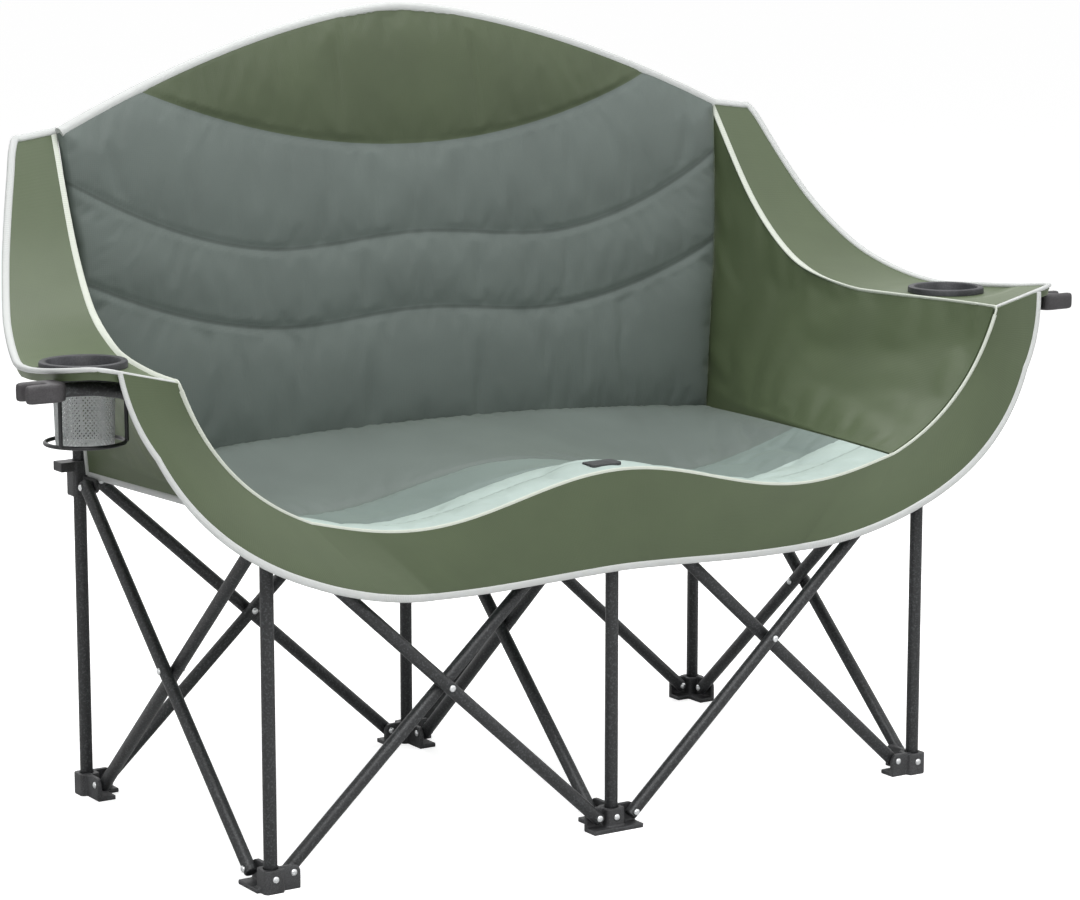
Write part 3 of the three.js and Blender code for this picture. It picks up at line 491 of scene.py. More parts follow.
def pad_mesh(front, rear, across, along, coordinates):
    """A closed pad between two faces. Its UV map holds two of its coordinates, in metres."""
    bm = bmesh.new()
    bmesh.ops.create_grid(bm, x_segments=across, y_segments=along, size=0.5)
    face_verts = list(bm.verts)
    made = bmesh.ops.duplicate(bm, geom=bm.verts[:] + bm.edges[:] + bm.faces[:])["geom"]
    bmesh.ops.reverse_faces(bm, faces=[g for g in made if isinstance(g, bmesh.types.BMFace)])
    for vert in made:
        if isinstance(vert, bmesh.types.BMVert):
            vert.co = rear(vert.co.x + 0.5, vert.co.y + 0.5)
    for vert in face_verts:
        vert.co = front(vert.co.x + 0.5, vert.co.y + 0.5)
    bmesh.ops.bridge_loops(bm, edges=[e for e in bm.edges if e.is_boundary])
    bmesh.ops.recalc_face_normals(bm, faces=bm.faces)
    layer = bm.loops.layers.uv.new("UVMap")
    for face in bm.faces:
        for loop in face.loops:
            loop[layer].uv = (loop.vert.co.x, loop.vert.co[coordinates])
    return bm


def settle(piece, held, pressure, slack, cap, stiffness=0.8):
    """Lets the cloth of a piece settle under pressure. Held points stay, others move at most the cap."""
    piece.vertex_groups.new(name="sewn").add(held, 1.0, "REPLACE")
    start = [v.co.copy() for v in piece.data.vertices]
    cloth = piece.modifiers.new("settling", "CLOTH")
    cloth.settings.quality = 6
    cloth.settings.mass = 0.2
    cloth.settings.tension_stiffness = 30
    cloth.settings.compression_stiffness = 30
    cloth.settings.shear_stiffness = 8
    cloth.settings.bending_stiffness = stiffness
    cloth.settings.air_damping = 6
    cloth.settings.vertex_group_mass = "sewn"
    cloth.settings.use_pressure = True
    cloth.settings.uniform_pressure_force = pressure
    cloth.settings.shrink_min = -slack
    cloth.settings.effector_weights.gravity = 0
    cloth.collision_settings.use_collision = False
    for step in range(1, 21):
        bpy.context.scene.frame_set(step)
    shape = piece.evaluated_get(bpy.context.evaluated_depsgraph_get()).data
    moved = [v.co.copy() for v in shape.vertices]
    piece.modifiers.remove(cloth)
    piece.vertex_groups.clear()
    bpy.context.scene.frame_set(1)
    for vert, old, new in zip(piece.data.vertices, start, moved):
        step = new - old
        if step.length > 1e-7:
            vert.co = old + step * (cap * math.tanh(step.length / cap) / step.length)


def woven_polyester(name, paint, roughness=0.58, gloss=0.35, sheen=0.12):
    """Dyed polyester in plain weave: a satin cloth with fine ribs and a soft, uneven bloom."""
    finish, tree, shader = start_finish(name, roughness)
    shader.inputs["Sheen Weight"].default_value = sheen
    shader.inputs["Sheen Roughness"].default_value = 0.4
    shader.inputs["Sheen Tint"].default_value = linear("c3d2a8")
    shader.inputs["Specular IOR Level"].default_value = gloss
    place = add_node(tree, "UVMap", uv_map="UVMap").outputs["UV"]
    threads = [add_node(tree, "TexWave",
                        {"Vector": place, "Scale": WAVE_RUN / THREAD, "Distortion": 0.6, "Detail": 1.0,
                         "Detail Scale": 3.0}, bands_direction=way).outputs["Fac"] for way in ("X", "Y")]
    weave = add_node(tree, "Math", {0: threads[0], 1: threads[1]}, operation="ADD")
    bloom = add_node(tree, "TexNoise", {"Vector": place, "Scale": 1 / 0.11, "Detail": 4})
    tone = add_node(tree, "MapRange", {"Value": bloom.outputs[0], "From Min": 0.3, "From Max": 0.7,
                                                  "To Min": 0.93, "To Max": 1.07})
    rib = add_node(tree, "MapRange", {"Value": weave.outputs[0], "From Max": 2.0,
                                                 "To Min": 0.98, "To Max": 1.02})
    tone = add_node(tree, "Math", {0: tone.outputs[0], 1: rib.outputs[0]}, operation="MULTIPLY")
    dye = paint(tree, place)
    colour = add_node(tree, "VectorMath", {0: dye, "Scale": tone.outputs[0]}, operation="SCALE")
    creases = add_node(tree, "TexNoise", {"Vector": place, "Scale": 1 / 0.16, "Detail": 2,
                                                     "Distortion": 0.8})
    soft = add_node(tree, "Bump",
                    {"Height": creases.outputs[0], "Strength": 0.12, "Distance": 0.012})
    bump = add_node(tree, "Bump", {"Height": weave.outputs[0], "Strength": 0.12, "Distance": 0.0004,
                                              "Normal": soft.outputs[0]})
    tree.links.new(colour.outputs[0], shader.inputs["Base Color"])
    tree.links.new(bump.outputs[0], shader.inputs["Normal"])
    return finish


def dyed(code):
    """Paint of one colour, which the weave then varies."""
    return lambda tree, place: linear(code)[:3]


def paint_seam_shade(tree, colour, distances):
    """Paints shade along sewn lines by darkening a colour there, given the distances to them in metres."""
    for distance in distances:
        off = add_node(tree, "Math", {0: distance}, operation="ABSOLUTE")
        # Painted shade: darkest on a sewn line, fading out a little way to each side.
        line = add_node(tree, "MapRange",
                        {"Value": off.outputs[0], "From Min": SEAM_SHADE_HALF, "From Max": 2.4 * SEAM_SHADE_HALF,
                         "To Min": 0.72, "To Max": 1.0})
        colour = add_node(tree, "VectorMath", {0: colour, "Scale": line.outputs[0]},
                          operation="SCALE").outputs[0]
    return colour


def seat_paint(tree, place):
    """Grey field, then the middle stripe, then the pale stripe, by the distance from the front, with shade
    painted along the sewn line of the pale stripe.
    """
    parts = add_node(tree, "SeparateXYZ", {0: place})
    side = add_node(tree, "Math", {0: parts.outputs["X"]}, operation="ABSOLUTE")
    outer = add_node(tree, "MapRange",
                     {"Value": side.outputs[0], "From Min": STRIPE_TURN, "From Max": STRIPE_SIDE})
    bend = add_node(tree, "Math", {0: outer.outputs[0], 1: 2}, operation="POWER")
    lift = add_node(tree, "Math", {0: bend.outputs[0], 1: STRIPE_BEND, 2: parts.outputs["Y"]},
                    operation="MULTIPLY_ADD")
    colour = linear("abbab5")
    for seam, code in zip(STRIPE_SEAMS, ("75827e", "636c68")):
        past = add_node(tree, "Math", {0: lift.outputs[0], 1: seam}, operation="GREATER_THAN")
        colour = add_node(tree, "Mix", {0: past.outputs[0], 6: colour, 7: linear(code)},
                          data_type="RGBA").outputs[2]
    # Painted shade along the sewn line of the pale stripe.
    line = add_node(tree, "Math", {0: parts.outputs["Y"], 1: STRIPE_LINE}, operation="SUBTRACT")
    return paint_seam_shade(tree, colour, [line.outputs[0]])


seat_cloth = woven_polyester("seat_polyester", seat_paint)
bm = pad_mesh(seat_top, seat_under, 170, 90, 1)
seat = add_piece("seat_cushion", bm, seat_cloth, 75)
sewn = []
for vert in seat.data.vertices:
    lines = [*stripe_seams(vert.co.x), STRIPE_LINE]
    behind = (vert.co.y - SEAT_FRONT_Y) / (SEAT_REAR_Y - SEAT_FRONT_Y)
    edge = min(vert.co.y - SEAT_FRONT_Y, SEAT_REAR_Y - vert.co.y,
               mix(SEAT_FRONT_HALF, SEAT_REAR_HALF, behind) - abs(vert.co.x))
    if vert.normal.z < 0.3 or edge < 0.004 or min(abs(vert.co.y - line) for line in lines) < 0.003:
        sewn.append(vert.index)
settle(seat, sewn, 4, 0.012, 0.007)
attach(seat, "front_center_connector")
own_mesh(seat)
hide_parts("seat_pad")


# Clamp plate: a small black moulding on the middle of the seat's front edge, with a raised centre,
# which holds the cloth down on the middle connector.
plate = soften("front_clamp_plate", "seat_clamp_plate", nylon, 0.0007, 5)
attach(plate, "front_center_connector")
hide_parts("front_clamp_plate")


# Back: a padded panel of grey polyester that leans back to an arched top, quilted along two wavy
# lines, with a green headrest panel let in above a curved seam.
BACK_LOW = 0.420
BACK_APEX = 0.979
BACK_CORNER = 0.838
BACK_LOW_HALF = 0.460
BACK_HALF = 0.490
BACK_FOOT_Y = 0.211
BACK_LEAN = 0.063
BACK_BEND = 2.312
LENS_LOW = 0.804
LENS_RISE = 0.078
LENS_HALF = 0.376
QUILT_WAVE = 0.006
QUILT_HALF = 0.188  # half a wave of the sewn lines, outside which they rise


def back_top_z(x):
    return BACK_APEX - (BACK_APEX - BACK_CORNER) * (abs(x) / BACK_HALF) ** 1.6


def quilt_line(height, rise):
    def line(x):
        wave = QUILT_WAVE * math.cos(math.pi * min(abs(x), QUILT_HALF) / QUILT_HALF)
        return height + wave + rise * (max(0, abs(x) - QUILT_HALF) / 0.282) ** 1.8
    return line


QUILT = [quilt_line(0.586, 0.072), quilt_line(0.685, 0.088)]


def lens_seam(x):
    return LENS_LOW + LENS_RISE * (x / LENS_HALF) ** 2


def back_rear_y(z):
    return BACK_FOOT_Y + BACK_LEAN * max(0, (z - BACK_LOW) / (BACK_APEX - BACK_LOW)) ** BACK_BEND


def back_rear(u, v):
    lane = (2 * u - 1) * BACK_HALF
    z = mix(BACK_LOW, back_top_z(lane), v)
    half = mix(BACK_LOW_HALF, BACK_HALF, min(1, (z - BACK_LOW) / (BACK_CORNER - BACK_LOW)))
    return Vector(((2 * u - 1) * half, back_rear_y(z), z))


def back_face(u, v):
    point = back_rear(u, v)
    inside = min((1 - abs(2 * u - 1)) * 0.47, point.z - BACK_LOW, back_top_z(point.x) - point.z)
    sewn = max(math.exp(-((point.z - seam(point.x)) / 0.007) ** 2) for seam in [*QUILT, lens_seam])
    point.y -= 0.009 + 0.010 * swell(inside, 0.05) * (1 - 0.33 * sewn)
    return point


def back_paint(tree, place):
    """Grey cloth, with the green headrest above its curved seam, and shade painted along the two quilted
    lines. The rear of the pad is green too.
    """
    parts = add_node(tree, "SeparateXYZ", {0: place})
    square = add_node(tree, "Math", {0: parts.outputs["X"], 1: parts.outputs["X"]},
                      operation="MULTIPLY")
    seam = add_node(tree, "Math",
                    {0: square.outputs[0], 1: LENS_RISE / LENS_HALF ** 2, 2: LENS_LOW},
                    operation="MULTIPLY_ADD")
    above = add_node(tree, "Math", {0: parts.outputs["Y"], 1: seam.outputs[0]},
                     operation="GREATER_THAN")
    colour = add_node(tree, "Mix", {0: above.outputs[0], 6: linear("5d6662"), 7: linear("454f39")},
                      data_type="RGBA").outputs[2]
    # Painted shade along the two quilted lines, placed by their distances in the Quilting map.
    quilting = add_node(tree, "UVMap", uv_map="Quilting").outputs["UV"]
    lines = add_node(tree, "SeparateXYZ", {0: quilting})
    return paint_seam_shade(tree, colour, lines.outputs[:2])


FOLD_BACK = {"axis": (1, 0, 0), "anchor": (0, 0.23, 0.7), "keep": 0.23}
back_cloth = woven_polyester("back_polyester", back_paint)
green_cloth = woven_polyester("green_polyester", dyed("48543a"), 0.46, 0.5, 0.25)
bm = pad_mesh(back_face, back_rear, 190, 110, 2)
back = add_piece("back_cushion", bm, back_cloth, 75)
back.data.materials.append(green_cloth)
for face in back.data.polygons:
    face.material_index = 1 if face.normal.y > 0.5 else 0
# The Quilting map holds the distances that place the painted shade along the quilted lines.
quilting = back.data.uv_layers.new(name="Quilting")  # distances to the two sewn lines
for loop, place in zip(back.data.loops, quilting.uv):
    corner = back.data.vertices[loop.vertex_index].co
    place.vector = [corner.z - line(corner.x) for line in QUILT]
sewn = []
for vert in back.data.vertices:
    near = min(abs(vert.co.z - seam(vert.co.x)) for seam in [*QUILT, lens_seam])
    edge = min(vert.co.z - BACK_LOW, back_top_z(vert.co.x) - vert.co.z, BACK_HALF - abs(vert.co.x))
    if vert.normal.y > -0.3 or near < 0.003 or edge < 0.005:
        sewn.append(vert.index)
settle(back, sewn, 4, 0.012, 0.008)
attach(back, "rear_center_connector")
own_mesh(back)
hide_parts("back_pad")


# Side panels: single sheets of green polyester between the seat and the armrests, sewn to the back
# at the rear and to the front band, slack enough to show a few soft folds.
BAY = 0.470  # outer posts from the middle
REAR_Y = 0.246
PANEL_FRONT_Y = -0.2542
SHEET = 0.003
WALL_LOW_Z = 0.412
WALL_LOW_REAR = Vector((0.463, 0.231, WALL_LOW_Z))
WALL_LOW_FRONT = Vector((0.4235, PANEL_FRONT_Y, WALL_LOW_Z))
SKIRT_SHARE = 0.1
ARM_DIP = 0.002
ARM_FRONT_IN = 0.114
WING_RISE = BACK_CORNER - ARM_TOP
WALL_CELLS = (90, 60)  # of the panel's mesh, along and up
WALL_HELD = 8  # lowest rows of points, which the seat holds
FOLD_SIDE = {"axis": (0, 1, 0), "anchor": (0, 0.245, 0.6), "keep": 0.2214}


def arm_curve(points):
    """A curve through points given as distance outside the post, share from back to front, and rise."""
    return spline([Vector((BAY + out, mix(REAR_Y, PANEL_FRONT_Y, share), ARM_TOP + rise))
                   for out, share, rise in points])


inner_seam = arm_curve([(0.023, 0, WING_RISE), (0.0377, 0.17, 0.102), (0.0475, 0.286, 0.044),
                        (0.0546, 0.372, 0.020), (0.0714, 0.532, 0), (0.093, 0.71, -ARM_DIP),
                        (0.110, 0.89, -ARM_DIP), (ARM_FRONT_IN, 1, -ARM_DIP)])
outer_edge = arm_curve([(0.082, 0.024, 0.229), (0.1266, 0.17, 0.111), (0.1543, 0.286, 0.0536),
                        (0.172, 0.372, 0.0274), (0.199, 0.532, 0.0033), (0.228, 0.71, 0.005),
                        (0.231, 0.82, 0.009), (0.228, 0.93, 0.016), (0.206, 1, 0.020)])


def bend(a, b, c, share):
    """A quadratic curve from a to c that leans on b."""
    return a * (1 - share) ** 2 + b * 2 * share * (1 - share) + c * share ** 2


def wall_rise(share):
    """Front edge of a side panel, from the seat's front corner up to the armrest, as x and z."""
    low = seat_front_z(SEAT_CORNER)
    high = ARM_TOP - ARM_DIP
    return bend(Vector((SEAT_CORNER, low)), Vector((BAY + 0.62 * ARM_FRONT_IN, mix(low, high, 0.28))),
                Vector((BAY + ARM_FRONT_IN, high)), share)


def wall_front(v):
    rise = wall_rise(max(0, (v - SKIRT_SHARE) / (1 - SKIRT_SHARE)))
    point = Vector((rise.x, PANEL_FRONT_Y, rise.y))
    return WALL_LOW_FRONT.lerp(point, v / SKIRT_SHARE) if v < SKIRT_SHARE else point


def wall(u, v):
    """Side panel between its four edges, from back to front and from the seat to the armrest."""
    low = WALL_LOW_REAR.lerp(WALL_LOW_FRONT, u)
    rear = WALL_LOW_REAR.lerp(inner_seam(0), v)
    across = low.lerp(inner_seam(u), v) + rear.lerp(wall_front(v), u)
    corners = low.lerp(inner_seam(0).lerp(inner_seam(1), u), v)
    return across - corners


def mirrored(surface, out):
    """A surface or curve of the right side, on the side that is wanted."""
    def place(*shares):
        point = surface(*shares)
        return Vector((out * point.x, point.y, point.z))
    return place


def thicken(bm, depth):
    """Gives a sheet its thickness, half of it on each of its sides."""
    bmesh.ops.recalc_face_normals(bm, faces=bm.faces)
    bm.normal_update()
    offsets = {vert: vert.normal * (depth / 2) for vert in bm.verts}
    rim = [tuple(e.verts) for e in bm.edges if e.is_boundary]
    made = bmesh.ops.duplicate(bm, geom=bm.verts[:] + bm.edges[:] + bm.faces[:])
    bmesh.ops.reverse_faces(bm, faces=[g for g in made["geom"] if isinstance(g, bmesh.types.BMFace)])
    twins = {vert: made["vert_map"][vert] for vert in offsets}
    for vert, offset in offsets.items():
        twins[vert].co = vert.co - offset
        vert.co += offset
    for a, b in rim:
        bm.faces.new((a, b, twins[b], twins[a]))
    bmesh.ops.recalc_face_normals(bm, faces=bm.faces)


for side, out in SIDES.items():
    bm = sheet_mesh(mirrored(wall, out), *WALL_CELLS, (0.50, 0.26))
    panel = add_piece(f"{side}_side_cloth", bm, green_cloth)
    row = WALL_CELLS[0] + 1
    rim = [v.index for v in panel.data.vertices
           if v.index % row in (0, row - 1) or not row * WALL_HELD <= v.index < row * WALL_CELLS[1]]
    settle(panel, rim, 0.5 * out, 0.002, 0.010, 8)
    bm = bmesh.new()
    bm.from_mesh(panel.data)
    thicken(bm, SHEET)
    bm.to_mesh(panel.data)
    bm.free()
    panel.data.shade_smooth()
    panel.data.set_sharp_from_angle(angle=math.radians(50))
    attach(panel, f"rear_{side}_connector")
    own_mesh(panel)
    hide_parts(f"{side}_side_panel")


# Armrests and wings: sheets of the same green polyester from the seam over the side panel out to a
# bound edge, flat round the cup holder and rising at the rear into a wing beside the back.
CUP = Vector((0.625, -0.108, ARM_TOP))
CUP_HOLE = 0.045
CUP_FLAT = 0.060
ARM_SHEET = 0.004
WING_SHARE = 0.592  # where the wing passes into the armrest, from back to front
SKIRT = 0.0102  # strip that hangs from the outer edge


def armrest(u, v):
    inner = inner_seam(u)
    inner.x += 0.001
    point = inner.lerp(outer_edge(u), v)
    away = math.hypot(point.x - CUP.x, point.y - CUP.y)
    level = max(ease((away - CUP_FLAT) / (0.6 * CUP_FLAT)), min(1, abs(2 * v - 1)) ** 8)
    point.z = mix(ARM_TOP, point.z, level)
    return point


wing_outline = spline([armrest(0, v) for v in (-0.1, 0.2, 0.5, 0.8, 0.94)]
                      + [armrest(u, 1) for u in (0.012, 0.04, 0.08, 0.14, 0.21, 0.28, 0.36, 0.44, 0.52,
                                                 WING_SHARE)])
arm_outline = spline([armrest(mix(WING_SHARE, 1, t), 1) for t in (0, 0.2, 0.4, 0.6, 0.8, 0.93)]
                     + [armrest(1, v) for v in (0.9, 0.6, 0.3, 0)])


def hung_strip(outline, start, end, first):
    """Strip that hangs from a part of the outline. Its depth grows from the first share to full."""
    def place(u, v):
        drop = 0.001 + SKIRT * v * mix(first, 1, ease(u))
        return outline(mix(start, end, u)) - Vector((0.25 * drop, 0, drop))
    return place


def part_of(surface, start, end):
    return lambda u, v: surface(mix(start, end, u), v)


for side, out in SIDES.items():
    for part, start, end, body in (("wing", 0, WING_SHARE, f"rear_{side}_connector"),
                                   ("armrest", WING_SHARE, 1, f"front_{side}_connector")):
        bm = sheet_mesh(mirrored(part_of(armrest, start, end), out), 90, 44, (0.62 * (end - start), 0.12))
        bmesh.ops.recalc_face_normals(bm, faces=bm.faces)
        if sum(f.normal.z for f in bm.faces) < 0:
            bmesh.ops.reverse_faces(bm, faces=bm.faces)
        if part == "armrest":
            axis = Vector((out * CUP.x, CUP.y))
            cut = [f for f in bm.faces if (f.calc_center_median().xy - axis).length < CUP_HOLE]
            bmesh.ops.delete(bm, geom=cut, context="FACES")
            for vert in bm.verts:
                away = vert.co.xy - axis
                if vert.is_boundary and away.length < CUP_HOLE + 0.01:
                    vert.co.xy = axis + away.normalized() * CUP_HOLE
        bmesh.ops.translate(bm, verts=bm.verts, vec=(0, 0, -ARM_SHEET / 2))
        thicken(bm, ARM_SHEET)
        cloth = add_piece(f"{side}_{part}_cloth", bm, green_cloth, 50)
        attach(cloth, body)
        if part == "wing":
            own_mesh(cloth)
        else:
            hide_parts(f"{side}_armrest")
    for part, hanging, size, area, body in (
        ("wing", hung_strip(wing_outline, 0.786, 1, 0.1), (0.20, SKIRT), 0.0015, f"rear_{side}_connector"),
        ("armrest", hung_strip(arm_outline, 0, 0.75, 1), (0.28, SKIRT), 0.00275, f"front_{side}_connector"),
    ):
        bm = sheet_mesh(mirrored(hanging, out), 60, 4, size)
        thicken(bm, SHEET)
        strip = add_piece(f"{side}_{part}_skirt", bm, green_cloth, 50)
        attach(strip, body)
        if part == "wing":
            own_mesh(strip)


# Front band: a strip of green polyester that hangs from the seat's front edge, hides the connectors,
# and rises at both ends to the tips of the armrests. Sewn in a middle and two risers.
BAND_SHARE = 0.6
BAND_LOW_Z = 0.331
BAND_WAVE = 0.0065
BAND_BREAK = 0.317
BAND_LEAN = Vector((0.621, 0.3735))  # point that the riser's hem leans toward
BAND_OUT = 0.012
BAND_FRONT_Y = -0.2595
BAND_TIP = Vector((0.652, 0.6162))
BAND_FLARE = 0.022  # how far the hem of a riser stands forward
BAND_BLEND = 0.09  # share over which the hem passes from the middle into a riser
FOLD_SEAT = {"axis": (1, 0, 0), "anchor": (0, 0, 0.4), "keep": 0.092}


def band_low_z(x):
    return BAND_LOW_Z - BAND_WAVE * math.sin(math.pi * x / (1.36 * BAND_BREAK)) ** 2


def band_rise(share):
    low = band_low_z(BAND_BREAK)
    return bend(Vector((BAND_BREAK, low)), BAND_LEAN, BAND_TIP, share)


def band_edge(share, half, height, rise):
    if share > BAND_SHARE:
        return rise((share - BAND_SHARE) / (1 - BAND_SHARE))
    x = half * share / BAND_SHARE
    return Vector((x, height(x)))


def band(u, v):
    """Front band by the share from its left tip to its right one, and from its top to its hem."""
    share = abs(2 * u - 1)
    top = band_edge(share, SEAT_CORNER, seat_front_z, wall_rise)
    reach = min(BAND_BLEND, share, 1 - share)
    near = [band_edge(share + k * reach, BAND_BREAK, band_low_z, band_rise) for k in (-1, -0.5, 0, 0.5, 1)]
    low = sum(near, Vector((0, 0))) / len(near)
    point = top.lerp(low, v)
    bulge = math.sin(math.pi / 2 * v) * (1 - share ** 6)
    flare = v * math.sin(math.pi * max(0, 2 * share - 1))
    y = BAND_FRONT_Y - BAND_OUT * bulge - BAND_FLARE * flare
    return Vector((math.copysign(point.x, 2 * u - 1), y, point.y))


BAND_CUTS = {"left": (0, 0.2), "center": (0.2, 0.8), "right": (0.8, 1)}
for part, (start, end) in BAND_CUTS.items():
    cells = 160 if part == "center" else 80
    bm = sheet_mesh(part_of(band, start, end), cells, 36, (1.5 * (end - start), 0.13))
    thicken(bm, SHEET)
    cloth = add_piece(f"front_band_{part}", bm, green_cloth, 50)
    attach(cloth, f"front_{part}_connector")
    if part == "center":
        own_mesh(cloth)
        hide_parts("front_band")


# Binding and piping: a thick pale grey tape folded over the outline of the cloth, and a rounder cream
# tape in the seams over the side panels and along the top of the front band.
OUTLINE = (0.0095, 0.0070)  # width and thickness
CROWN = (0.0130, 0.0150)  # along the top of the back
HEM = (0.0092, 0.0055)
SEAM_TAPE = (0.0120, 0.0045)
ROLL = (0.0100, 0.0055)
RIB = 0.0016  # real ribs of the tape are about 0.8 mm, drawn coarser so that they show
ARM_FACING = Vector((0.7, 0, 0.7))  # way that the seam's tape faces along the armrest


def ribbed_tape(name, dark, pale, roughness):
    """Woven polyester tape: matt and pale, with fine ribs across its length."""
    finish, tree, shader = start_finish(name, roughness)
    place = add_node(tree, "UVMap", uv_map="UVMap").outputs["UV"]
    ribs = add_node(tree, "TexWave", {"Vector": place, "Scale": WAVE_RUN / RIB, "Distortion": 0.4},
                    bands_direction="X").outputs["Fac"]
    soil = add_node(tree, "TexNoise", {"Vector": place, "Scale": 1 / 0.02, "Detail": 3})
    tone = add_node(tree, "Math", {0: ribs, 1: soil.outputs[0]}, operation="MULTIPLY")
    share = add_node(tree, "MapRange", {"Value": tone.outputs[0], "From Max": 0.45})
    lay_tones(tree, shader, share.outputs[0], dark, pale, ribs, 0.2, 0.0003)
    return finish


tape = ribbed_tape("binding_tape", "bcbfbd", "c8cac9", 0.7)
cream = ribbed_tape("cream_tape", "bfc4b9", "cbd0c5", 0.65)


def sew(name, path, facing, size, steps, finish, body, fold=None, taper=(1, 1)):
    """Sews a tape along a path and hangs it on the body of the cloth that it edges."""
    bm = cord_mesh(path, facing, size[0], size[1], steps, 14, 0.8, taper)
    strip = add_piece(name, bm, finish, 70)
    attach(strip, body)
    if fold:
        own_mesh(strip)


def ahead(share):
    return Vector((0, -1, 0))


def aside(share):
    return Vector((1, 0, 0))


def arm_normal(u):
    """The armrest's upward normal at a share from back to front."""
    along = armrest(min(1, u + 0.01), 0.5) - armrest(max(0, u - 0.01), 0.5)
    normal = along.cross(armrest(u, 1) - armrest(u, 0)).normalized()
    return normal if normal.z > 0 else -normal


def seam_normal(u):
    """Way that the inner seam's tape faces: with the wing, then outward along the armrest."""
    return arm_normal(u).lerp(ARM_FACING, ease((u - 0.35) / 0.25))


def corner_normal(s):
    """Way that the armrest's seam tape faces: outward, then forward as it turns into the roll."""
    return ARM_FACING.lerp(Vector((0.75, -0.65, 0)), ease((s - 0.6) / 0.25))


def back_outline(u):
    x = (2 * u - 1) * BACK_HALF
    z = back_top_z(x)
    return Vector((x, back_rear_y(z) - 0.0068, z - 0.001))


arm_seam = spline([armrest(mix(WING_SHARE, 1, t), 0) for t in (0, 0.2, 0.4, 0.6, 0.8, 0.94)]
                  + [band(1, 0) + Vector((0, 0.0015, -0.001)), band(0.994, 0), band(0.988, 0)])
sew("back_top_binding", back_outline, ahead, CROWN, 120, tape, "rear_center_connector", FOLD_BACK)
for side, out in SIDES.items():
    rear = f"rear_{side}_connector"
    front = f"front_{side}_connector"
    wing_way = mirrored(lambda s: arm_normal(s * WING_SHARE), out)
    arm_way = mirrored(lambda s: arm_normal(mix(WING_SHARE, 1, s)), out)
    wing_seam = mirrored(lambda s: armrest(s * WING_SHARE, 0), out)
    wing_seam_way = mirrored(lambda s: seam_normal(s * WING_SHARE), out)
    panel_hem = mirrored(lambda u: wall(u, 0), out)
    panel_rear = mirrored(lambda v: wall(0, v), out)
    sew(f"{side}_wing_binding", mirrored(wing_outline, out), wing_way, OUTLINE, 90, tape, rear, FOLD_SIDE)
    sew(f"{side}_armrest_binding", mirrored(arm_outline, out), arm_way, OUTLINE, 60, tape, front,
        taper=(1, 0.6))
    sew(f"{side}_wing_piping", wing_seam, wing_seam_way, SEAM_TAPE, 60, cream, rear, FOLD_SIDE, (0.7, 0.9))
    sew(f"{side}_armrest_piping", mirrored(arm_seam, out), mirrored(corner_normal, out), SEAM_TAPE, 60, cream,
        front, taper=(0.9, 0.65))
    sew(f"{side}_panel_hem_binding", panel_hem, aside, HEM, 60, tape, rear, FOLD_SIDE)
    sew(f"{side}_panel_rear_binding", panel_rear, ahead, HEM, 40, tape, rear, FOLD_SIDE)
for part, (start, end) in BAND_CUTS.items():
    fold = FOLD_SEAT if part == "center" else None
    body = f"front_{part}_connector"
    out = {"left": -1, "center": 0, "right": 1}[part]
    roll = {"left": (0.9, 0.6), "center": (0.6, 0.6), "right": (0.6, 0.9)}[part]
    inner, outer = max(start, 0.007), min(end, 0.993)  # the roll stops short of the armrests' tips
    turn = lambda s: 0.75 * out * abs(2 * mix(start, end, s) - 1) ** 2
    sew(f"front_band_{part}_hem", lambda s: band(mix(start, end, s), 1),
        lambda s: Vector((-turn(s), -0.65, 0)), HEM, 120, tape, body, fold)
    sew(f"front_band_{part}_roll", lambda s: band(mix(inner, outer, s), 0),
        lambda s: Vector((turn(s), -0.65, 0)), ROLL, 120, cream, body, fold, roll)


# Cup holders: a black nylon ring through the armrest, clamped by a housing below it, with a pocket
# of coarse grey netting and a wire basket that the bottom of the pocket stands in.
RING_PROFILE = [(0.0415, -0.018), (0.0445, -0.018), (0.0445, 0.0003), (0.050, 0.0003), (0.050, 0.0058),
                (0.0494, 0.0074), (0.0480, 0.0082), (0.0445, 0.0082), (0.0425, 0.0076), (0.0415, 0.0060)]
HOUSING_PROFILE = [(0.0448, -0.018), (0.0508, -0.018), (0.0518, -0.017), (0.0518, -0.0063), (0.0508, -0.0053),
                   (0.0448, -0.0053)]
POCKET_LOW = -0.088
POCKET_HIGH = -0.006
POCKET_BASE = 0.0325
POCKET_NECK = 0.0345  # below the housing
POCKET_TOP = 0.0403
NET = 0.0042  # netting's cells
NET_CORD = 0.0017
WIRE = 0.0024
HOOP = 0.045
HOOP_Z = -0.085
LEG_RADIUS = 0.0469


def turned(profile, axis, steps=64):
    """A closed ring of a profile of radii and heights, turned round an upright axis."""
    bm = bmesh.new()
    verts = [bm.verts.new(axis + Vector((radius, 0, height))) for radius, height in profile]
    edges = [bm.edges.new((a, b)) for a, b in zip(verts, verts[1:] + verts[:1])]
    bmesh.ops.spin(bm, geom=verts + edges, cent=axis, axis=(0, 0, 1), angle=math.tau, steps=steps,
                   use_merge=True)
    bmesh.ops.remove_doubles(bm, verts=bm.verts, dist=1e-6)
    bmesh.ops.recalc_face_normals(bm, faces=bm.faces)
    return bm


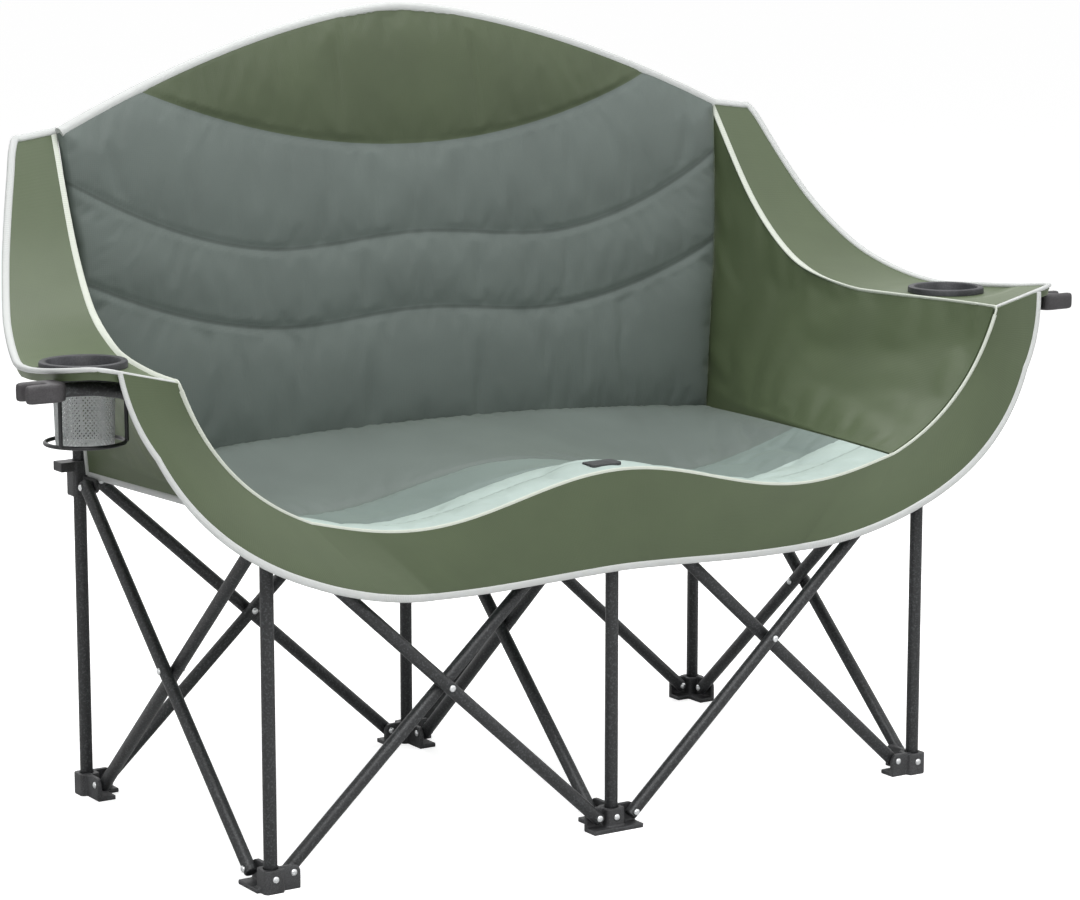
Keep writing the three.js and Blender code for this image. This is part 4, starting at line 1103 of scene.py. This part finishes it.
def netting(axis):
    """A cup of diamond netting, with a flat bottom."""
    around = round(math.tau * POCKET_TOP / NET / 1.4)
    rows = round((POCKET_HIGH - POCKET_LOW + POCKET_BASE) / NET / 1.4)

    bottom = 0.85 * POCKET_BASE  # the rest of the bottom stays open in the middle

    def cup(u, v):
        run = v * (POCKET_HIGH - POCKET_LOW + bottom)
        rise = max(0, run - bottom)
        radius = mix(POCKET_BASE, POCKET_NECK, rise / (POCKET_HIGH - POCKET_LOW))
        radius = mix(radius, POCKET_TOP, ease((POCKET_LOW + rise + 0.024) / 0.012))
        radius *= 0.15 + 0.85 * min(1, run / bottom)
        turn = math.tau * u
        return axis + Vector((radius * math.cos(turn), radius * math.sin(turn), POCKET_LOW + rise))

    bm = sheet_mesh(cup, around, rows, (1, 1))
    bmesh.ops.remove_doubles(bm, verts=bm.verts, dist=1e-6)
    squares = list(bm.edges)
    bmesh.ops.poke(bm, faces=bm.faces[:])
    bmesh.ops.dissolve_edges(bm, edges=[e for e in squares if e.is_valid and not e.is_boundary])
    bmesh.ops.wireframe(bm, faces=bm.faces[:], thickness=NET_CORD, use_boundary=True, use_even_offset=True,
                        use_replace=True)
    return bm


black_nylon = moulded_nylon("black_nylon", "1f2023", "3b3c40")
net_cord, tree, shader = start_finish("polyester_netting", 0.7)
place = add_node(tree, "TexCoord").outputs["Object"]
twist = add_node(tree, "TexNoise", {"Vector": place, "Scale": 1 / 0.004, "Detail": 2})
lay_tones(tree, shader, twist.outputs[0], "b0b4b4", "dadcdc")
wire_coat, tree, shader = start_finish("dipped_wire_coat", 0.35)
place = add_node(tree, "TexCoord").outputs["Object"]
drips = add_node(tree, "TexNoise", {"Vector": place, "Scale": 1 / 0.006, "Detail": 2})
lay_tones(tree, shader, drips.outputs[0], "121314", "2b2d2f", drips.outputs[0], 0.2, 0.0005)

for side, out in SIDES.items():
    axis = Vector((out * CUP.x, CUP.y, CUP.z))
    basket = turned([(HOOP + WIRE * math.cos(k * math.tau / 12), HOOP_Z + WIRE * math.sin(k * math.tau / 12))
                     for k in range(12)], axis)
    for k in range(3):
        turn = math.pi / 2 + k * math.tau / 3
        foot = axis + Vector((math.cos(turn) * LEG_RADIUS, math.sin(turn) * LEG_RADIUS, HOOP_Z))
        leg = tube_between(foot, foot + Vector((0, 0, -0.0183 - HOOP_Z)), WIRE)
        strut = bpy.data.meshes.new("strut")
        leg.to_mesh(strut)
        leg.free()
        basket.from_mesh(strut)
    for part, bm, finish, slot in (
        ("cup_ring", turned(RING_PROFILE, axis), black_nylon, "moulded_plastic"),
        ("cup_housing", turned(HOUSING_PROFILE, axis), black_nylon, "moulded_plastic"),
        ("mesh_pocket", netting(axis), net_cord, "pocket_mesh"),
        ("cup_basket", basket, wire_coat, "coated_wire"),
    ):
        holder = add_piece(f"{side}_{part}_made", bm, finish, 35)
        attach(holder, f"front_{side}_connector")
        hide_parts(f"{side}_{part}")
